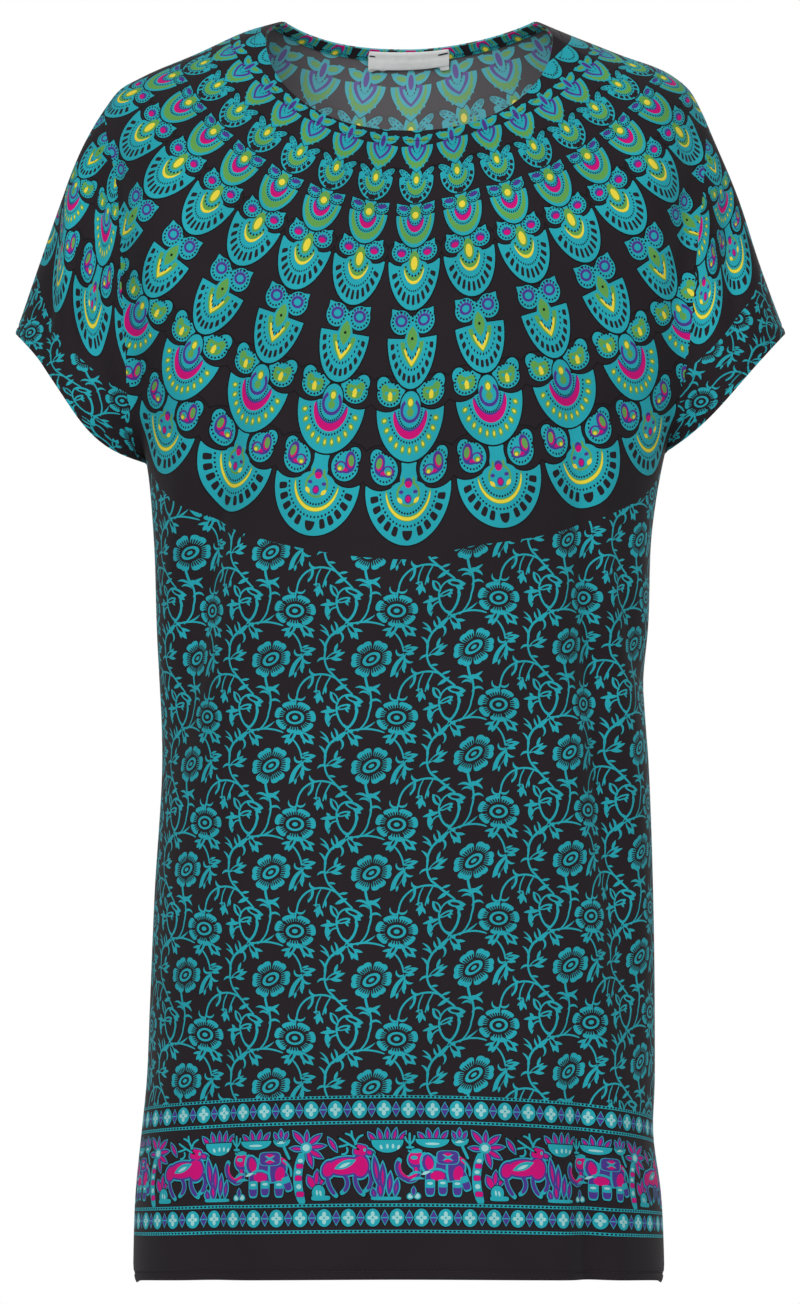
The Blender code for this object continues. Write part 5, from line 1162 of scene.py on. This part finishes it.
sheets = {face: panelSheet(face) for face in faces}
joinSeams(sheets["front"], sheets["back"])
for face in faces:
    sheet = sheets[face]
    outer, inner = sheet["places"], sheet["places"] - panelMesh["wall"] * sheet["normals"]
    used, quads, part = closedShell(outer, inner, sheet["quads"])
    flat, beyond, moved, vineMoved = (values[used] for values in flatPlaces(sheet["view"], face))
    around, exact = (values[used] for values in aroundBody(sheet))
    flat[:, 0] = (1 - exact) * flat[:, 0] + exact * around
    row = (np.arange(len(sheet["places"])) % sheet["shape"][1])[used]
    tilt, scale = np.radians(medallion["tilt"][face]), medallion["scale"][face]
    toRings = np.array([[np.cos(tilt), np.sin(tilt)], [-np.sin(tilt), np.cos(tilt)]]) * 1000 / scale
    yoke = (flat - medallion["centre"][face]) @ toRings.T
    bandRow = cut["facingRows"] + cut["yokeRows"] + cut["bodyRows"]
    heights = gridOf(sheet, "places")[:, :, 2]
    top, low = heights[:, [bandRow]], heights[:, [-1]]
    share = ((heights - top) / np.where(np.isnan(top), 1, top - low)).ravel()[used]
    flatBorder = np.stack([flat[:, 0] * 1000, np.nan_to_num(share) * border["height"]], axis=1)

    def raised(values):
        return np.tile(np.column_stack([values, np.zeros(len(values))]), (2, 1))

    attributes = {"yokePlace": raised(yoke), "yokeShift": raised(moved @ toRings.T),
                  "printPlace": raised(flat * 1000), "printShift": raised(vineMoved * 1000),
                  "borderPlace": raised(flatBorder), "beyondTuck": np.tile(beyond, 2),
                  "wrongSide": np.repeat([0.0, 1.0], len(used))}
    onSleeve = (attributes["beyondTuck"][quads].mean(axis=1) > 0)[:, None]
    middle = {title: attributes[title][quads].mean(axis=1)[:, :2] for title in
              ("yokePlace", "yokeShift", "printPlace", "printShift", "borderPlace")}
    inBorder = np.tile(row, 2)[quads].min(axis=1) >= bandRow
    slots = zoneOf(middle["yokePlace"] + onSleeve * middle["yokeShift"],
                   middle["printPlace"] + onSleeve * middle["printShift"],
                   middle["borderPlace"][:, 0], inBorder)
    # the bake's map: the outer sheet at 1 mm a pixel, the inner one at half that beside it
    span, head = panelMesh["bakeSpan"], panelMesh["bakeTop"]
    chart = np.stack([flat[:, 0] + span / 2, flat[:, 1] + 1 - head], axis=1)
    charts = np.concatenate([chart, chart * 0.5 + (span + panelMesh["bakeGap"], 0.0)])
    corners = np.where((part == 2)[:, None], quads % len(used), quads)
    piece = addPiece(face + "_printed_voile", np.concatenate([outer[used], inner[used]]), quads,
                     attributes, charts[corners].reshape(-1, 2), clothMaterials, slots)
    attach(piece, "root")
    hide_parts(face)
    sheet["piece"] = piece
    print(face, "panel made,", 2 * len(quads), "triangles, chart", chart.min(axis=0), chart.max(axis=0))


# The neck facing. Its print is the fans' rings, from reach mm inwards, at a scale of its own.
facing = {"wall": 0.0010, "reach": 211.0, "phaseAt": 0.0073, "scale": 0.77}


def neckRing(depthIn, row):
    # the closed loop of the neck at a row of the panels, set in from their outer face
    parts = []
    for face in faces:
        sheet = sheets[face]
        places, normals = (gridOf(sheet, title)[:, row] for title in ("places", "normals"))
        trim = 1 if face == "front" else -1
        loop = (places - depthIn * normals)[::trim]
        loop[[0, -1], 1] = seamPlane(loop[[0, -1], 2])
        parts.append(loop if face == "front" else loop[1:-1])
    return np.concatenate(parts)


def neckFacing():
    # a strip level with the neck's edge, on the wrong side of both panels
    rows = range(cut["facingRows"] + 1)
    near = panelMesh["wall"] + cut["solidGap"]
    outer = np.stack([neckRing(near, row) for row in rows], axis=1)
    inner = np.stack([neckRing(near + facing["wall"], row) for row in rows], axis=1)
    count = len(outer)
    number = np.arange(count * len(rows)).reshape(count, len(rows))
    following = np.roll(number, -1, axis=0)
    quads = np.stack([number[:, :-1], following[:, :-1], following[:, 1:], number[:, 1:]],
                     axis=2).reshape(-1, 4)
    return outer.reshape(-1, 3), inner.reshape(-1, 3), quads


outer, inner, quads = neckFacing()
count = cut["facingRows"] + 1
along = lengths(outer[::count]).repeat(count) * 1000
down = np.tile(np.linspace(0, cut["facingWidth"] * 1000, count), len(outer) // count)
used, quads, _ = closedShell(outer, inner, quads)
atBack = np.argmin(abs(outer[:, 0] - facing["phaseAt"]) + (outer[:, 1] < 0))
angle = (along - along[atBack]) / facing["scale"] / facing["reach"]
reach = facing["reach"] - down / facing["scale"]
strip = np.stack([np.sin(angle) * reach, -np.cos(angle) * reach,
                  np.zeros(len(angle))], axis=1)[used]
facingAttributes = {title: np.tile(strip, (2, 1)) for title in ("yokePlace", "printPlace")}
facingAttributes["wrongSide"] = np.zeros(2 * len(used))
facingPiece = addPiece("neck_facing_voile", np.concatenate([outer[used], inner[used]]), quads,
                       facingAttributes, None,
                       [clothMaterials[zones["fans"][np.searchsorted(handOver, facing["reach"])]]])
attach(facingPiece, "root")
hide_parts("neck_facing")
print("neck facing made")

# A folded label of woven tape, tacked at its two top corners over the facing. It is bare. Its
# under layer slips out below the upper one at both ends, and its lower edge stands away.
label = {
    "width": 0.0590, "top": (0.0010, 0.0006), "bottom": (0.0152, 0.0133), "wall": 0.0005,
    "gap": 0.0010, "columns": 41, "rows": 13, "span": 24, "reachRows": 14, "edgePowers": (16, 10),
    "thinnest": 0.00002,
    "slip": {"drop": (0.0024, 0.0038), "from": (0.32, 0.86), "fade": (0.2, 0.04),
             "wave": (0.7, 0.3, 40.0)},
    "flare": {"height": 0.0012, "wave": (6.5, 0.4), "underLess": 0.6},
    "ribPitch": 0.5, "ribDepth": 0.00006, "roughness": 0.55, "sheen": 0.2,
}


def overFacing(across, down, inset):
    # places over the facing at the back neck: across from the label's middle, down from the neck's
    # edge and in from the cloth's outer face, all in metres
    sheet = sheets["back"]
    places, normals = (gridOf(sheet, title) for title in ("places", "normals"))
    middle = sheet["shape"][0] // 2
    columns = range(middle - label["span"], middle + label["span"] + 1)
    deep = label["reachRows"]
    runs = [lengths(places[column, :deep]) for column in columns]
    result = np.empty((*across.shape, 3))
    for k in range(across.shape[1]):
        sunk = places - inset[:, k].mean() * normals
        row = np.array([[np.interp(down[:, k].mean(), run, sunk[column, :deep, axis]) for axis in range(3)]
                        for column, run in zip(columns, runs)])
        run = lengths(row)
        result[:, k] = np.stack([np.interp(across[:, k] + run[len(run) // 2], run, row[:, axis])
                                 for axis in range(3)], axis=1)
        slope = (down[:, k] - down[:, k].mean())[:, None] * (0, 0, -1)
        result[:, k] += slope + (inset[:, k] - inset[:, k].mean())[:, None] * (0, -1, 0)
    return result


def tapeLayer(lift, lower):
    # one layer of the tape, a little crowned; its wall thins out at the edges
    u, v = np.meshgrid(np.linspace(0, 1, label["columns"]), np.linspace(0, 1, label["rows"]),
                       indexing="ij")
    slip, flare = label["slip"], label["flare"]
    level, swing, turns = slip["wave"]
    left = ease((slip["from"][0] - u) / slip["fade"][0]) * (level + swing * np.sin(turns * u))
    right = ease((u - slip["from"][1]) / slip["fade"][1])
    top, bottom = (start + u * (end - start) for start, end in (label["top"], label["bottom"]))
    bottom = bottom + lower * (slip["drop"][0] * left + slip["drop"][1] * right)
    endPower, sidePower = label["edgePowers"]
    thinned = (1 - abs(2 * u - 1) ** endPower) * (1 - abs(2 * v - 1) ** sidePower)
    wall = label["wall"] * thinned ** 0.5
    turns, phase = flare["wave"]
    away = flare["height"] * v ** 2 * (0.5 + 0.5 * np.cos(turns * u - phase))
    away = away * (1 - flare["underLess"] * lower)
    inside = panelMesh["wall"] + facing["wall"] + 2 * cut["solidGap"] + lift + away
    layers = [overFacing((u - 0.5) * label["width"], top + v * (bottom - top), inside + part)
              for part in (0 * wall, wall + label["thinnest"])]
    return layers[1].reshape(-1, 3), layers[0].reshape(-1, 3), u.shape


pieces = [tapeLayer(label["wall"] + label["gap"], 0), tapeLayer(0.0, 1)]
allPlaces, allQuads, start = [], [], 0
for outer, inner, shape in pieces:
    used, quads, _ = closedShell(outer, inner, gridQuads(shape, np.ones(shape, bool)))
    allPlaces += [outer[used], inner[used]]
    allQuads.append(quads + start)
    start += 2 * len(used)
# woven polyester tape: fine ribs both ways and a soft silky sheen
tape, tree, finish = startMaterial("wovenPolyesterTape")
place = addNode(tree, "Attribute", {"attribute_name": "tapePlace"}, out=1)
weave = crossedRibs(tree, place, label["ribPitch"])
patch = addNode(tree, "TexNoise", None, {"Vector": place, "Scale": 0.25, "Detail": 3.0})
both = addNode(tree, "Math", {"operation": "MULTIPLY_ADD"}, {0: weave, 1: 0.25, 2: patch})
shade = addNode(tree, "Mix", {"data_type": "RGBA"},
                {0: both, 6: linear("#dcdedd"), 7: linear("#f3f4f3")}, out=2)
relief = addNode(tree, "Bump", None, {"Height": weave, "Strength": 0.5, "Distance": label["ribDepth"]})
tree.links.new(shade, finish.inputs["Base Color"])
tree.links.new(relief, finish.inputs["Normal"])
finish.inputs["Roughness"].default_value = label["roughness"]
finish.inputs["Sheen Weight"].default_value = label["sheen"]
allPlaces = np.concatenate(allPlaces)
labelPiece = addPiece("bare_label", allPlaces, np.concatenate(allQuads),
                      {"tapePlace": allPlaces[:, [0, 2, 1]] * 1000}, None, [tape])
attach(labelPiece, "root")
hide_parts("label")

# Sewing thread, spun polyester: each stitch is a short bowed strand on the cloth's right side.
stitch = {
    "length": 0.0024, "gap": 0.0007, "thick": 0.00022, "lift": 0.00012, "above": 0.0001,
    "sides": 6, "rings": (0.0, 0.25, 0.75, 1.0), "share": (0.55, 1.0, 1.0, 0.55),
    "plyScale": 700.0, "plyDepth": 0.00005, "roughness": 0.6,
}
# The label's tacks: where each starts (across, down), how far it goes and how much it slants.
tacks = {"ends": ((-0.0288, 0.0036, 0.0044, 0.0003), (0.0212, 0.0032, 0.0074, -0.0008)),
         "strands": 3, "pitch": 0.0004, "inset": 0.0052}


def stitchesAlong(path, normals):
    # start, end and normal of each stitch of a run
    run = lengths(path)
    count = int(run[-1] / (stitch["length"] + stitch["gap"]))
    at = (np.arange(count) + 0.5) * run[-1] / count
    ends = [np.stack([np.interp(at + half, run, path[:, k]) for k in range(3)], axis=1)
            for half in (-stitch["length"] / 2, stitch["length"] / 2)]
    normal = unit(np.stack([np.interp(at, run, normals[:, k]) for k in range(3)], axis=1))
    return ends[0], ends[1], normal


def strands(starts, ends, normals, thick):
    # short rounded strands between pairs of places, bowed out along their normals
    along = unit(ends - starts)
    across = unit(np.cross(along, normals))
    up = np.cross(across, along)
    share, sides = np.array(stitch["rings"]), stitch["sides"]
    turn = np.arange(sides) * 2 * np.pi / sides
    centre = (starts[:, None] + share[None, :, None] * (ends - starts)[:, None]
              + (stitch["lift"] * np.sin(np.pi * share))[None, :, None] * normals[:, None])
    ring = np.cos(turn)[:, None] * across[:, None] + np.sin(turn)[:, None] * up[:, None]
    places = centre[:, :, None] + thick * np.array(stitch["share"])[None, :, None, None] * ring[:, None]
    number = np.arange(places[..., 0].size).reshape(places.shape[:3])
    following = np.roll(number, -1, axis=2)
    tube = np.stack([number[:, :-1], following[:, :-1], following[:, 1:], number[:, 1:]], axis=3)
    caps = [number[:, 0][:, order] for order in ((3, 2, 1, 0), (5, 4, 3, 0))]
    caps += [number[:, -1][:, order] for order in ((0, 1, 2, 3), (0, 3, 4, 5))]
    return places.reshape(-1, 3), np.concatenate([tube.reshape(-1, 4)] + caps)


runs = []
for face in faces:
    sheet = sheets[face]
    places, normals = (gridOf(sheet, title) for title in ("places", "normals"))
    low, sleeve = cut["facingRows"] + cut["yokeRows"], cut["sleeveColumns"]
    cuff, hem = ([edge - step for step in stitchSteps] for edge in (low, -1))
    for columns, rows in ((slice(1, sleeve), cuff), (slice(-sleeve, -1), cuff),
                          (slice(sleeve + 1, -sleeve - 1), hem),
                          (slice(1, -1), [cut["facingRows"]] * 2)):
        path = (places[columns, rows[0]] + places[columns, rows[1]]) / 2
        runs.append(stitchesAlong(path + stitch["above"] * normals[columns, rows[0]],
                                   normals[columns, rows[0]]))
tackFrom, tackTo = [], []
for across, down, reach, slant in tacks["ends"]:
    for k in range(tacks["strands"]):
        begin = down + tacks["pitch"] * k
        u = np.array([[across], [across + reach]])
        v = np.array([[begin], [begin + slant]])
        away = np.full((2, 1), tacks["inset"])
        spots = overFacing(u, v, away)[:, 0]
        tackFrom.append(spots[0])
        tackTo.append(spots[1])
runs.append((np.array(tackFrom), np.array(tackTo), np.tile((0.0, -1.0, 0.0), (len(tackFrom), 1))))
starts, ends, normals = (np.concatenate(part) for part in zip(*runs))
threadPlaces, threadQuads = strands(starts, ends, normals, stitch["thick"])
# spun polyester thread: two plies twisted, matt, with a soft light along it
thread, tree, finish = startMaterial("spunPolyesterThread")
place = addNode(tree, "TexCoord", out=3)
plies = addNode(tree, "TexWave", {"bands_direction": "DIAGONAL"},
                {"Vector": place, "Scale": stitch["plyScale"]})
shade = addNode(tree, "Mix", {"data_type": "RGBA"},
                {0: plies, 6: linear("#0f0e12"), 7: linear("#25222b")}, out=2)
relief = addNode(tree, "Bump", None, {"Height": plies, "Strength": 0.5, "Distance": stitch["plyDepth"]})
tree.links.new(shade, finish.inputs["Base Color"])
tree.links.new(relief, finish.inputs["Normal"])
finish.inputs["Roughness"].default_value = stitch["roughness"]
threadPiece = addPiece("sewing_thread", threadPlaces, threadQuads, None, None, [thread])
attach(threadPiece, "root")
print("label and", len(starts), "stitches made")

# Floor, light and camera.
stage = {"floorHeight": -1.16, "floorRadius": 1.6, "spokes": 97, "rings": 9, "roughness": 0.9}
view = {"distance": 3.6, "height": -0.4525, "fieldHeight": 0.930, "sensor": 36.0}

camera = bpy.data.cameras.new("camera")
camera.sensor_width = view["sensor"]
camera.lens = view["sensor"] * view["distance"] / view["fieldHeight"]
cameraObject = bpy.data.objects.new("camera", camera)
bpy.context.collection.objects.link(cameraObject)
cameraObject.location = (0, -view["distance"], view["height"])
cameraObject.rotation_euler = (np.pi / 2, 0, 0)
bpy.context.scene.camera = cameraObject

studio = {
    "dim": 0.30, "seen": 1.0,
    "lamps": (("key_softbox", (-1.1, -3.3, 0.9), 2.0, 62.0), ("fill_softbox", (1.6, -3.3, 0.1), 2.4, 30.0),
              ("top_softbox", (-0.3, -0.8, 2.2), 1.6, 12.0), ("back_softbox", (0.6, 3.0, 0.6), 2.6, 40.0)),
    "aim": (0.0, 0.0, -0.42),
}
bpy.context.scene.view_settings.view_transform = "Standard"
world = bpy.data.worlds.new("studio")
bpy.context.scene.world = world
world.use_nodes = True
tree = world.node_tree
# the camera sees a white backdrop, and the cloth is lit by a dimmer one
level = addNode(tree, "MapRange", None,
                {0: addNode(tree, "LightPath"), 3: studio["dim"], 4: studio["seen"]})
tree.links.new(level, tree.nodes["Background"].inputs["Strength"])
tree.nodes["Background"].inputs["Color"].default_value = (1, 1, 1, 1)
for name, place, size, watts in studio["lamps"]:
    lamp = bpy.data.lights.new(name, "AREA")
    lamp.shape, lamp.size, lamp.energy = "SQUARE", size, watts
    lampObject = bpy.data.objects.new(name, lamp)
    bpy.context.collection.objects.link(lampObject)
    lampObject.location = place
    lampObject.rotation_euler = (Vector(studio["aim"]) - Vector(place)).to_track_quat("-Z", "Y").to_euler()

# a round of pale paper for a floor, out of the camera's view
turn, reach = np.meshgrid(np.linspace(0, 2 * np.pi, stage["spokes"]),
                          np.linspace(0.0, stage["floorRadius"], stage["rings"]), indexing="ij")
level = np.full(turn.shape, stage["floorHeight"])
floor = np.stack([reach * np.cos(turn), reach * np.sin(turn), level], axis=2)
floorPiece = addPiece("paper_floor", floor.reshape(-1, 3), gridQuads(turn.shape, np.ones(turn.shape, bool)))
paper, tree, finish = startMaterial("paperRoll")
grain = addNode(tree, "TexNoise", None, {"Scale": 900.0, "Detail": 3.0})
shade = addNode(tree, "Mix", {"data_type": "RGBA"},
                {0: grain, 6: linear("#efefee"), 7: linear("#f8f8f8")}, out=2)
tree.links.new(shade, finish.inputs["Base Color"])
finish.inputs["Roughness"].default_value = stage["roughness"]
floorPiece.data.materials.append(paper)
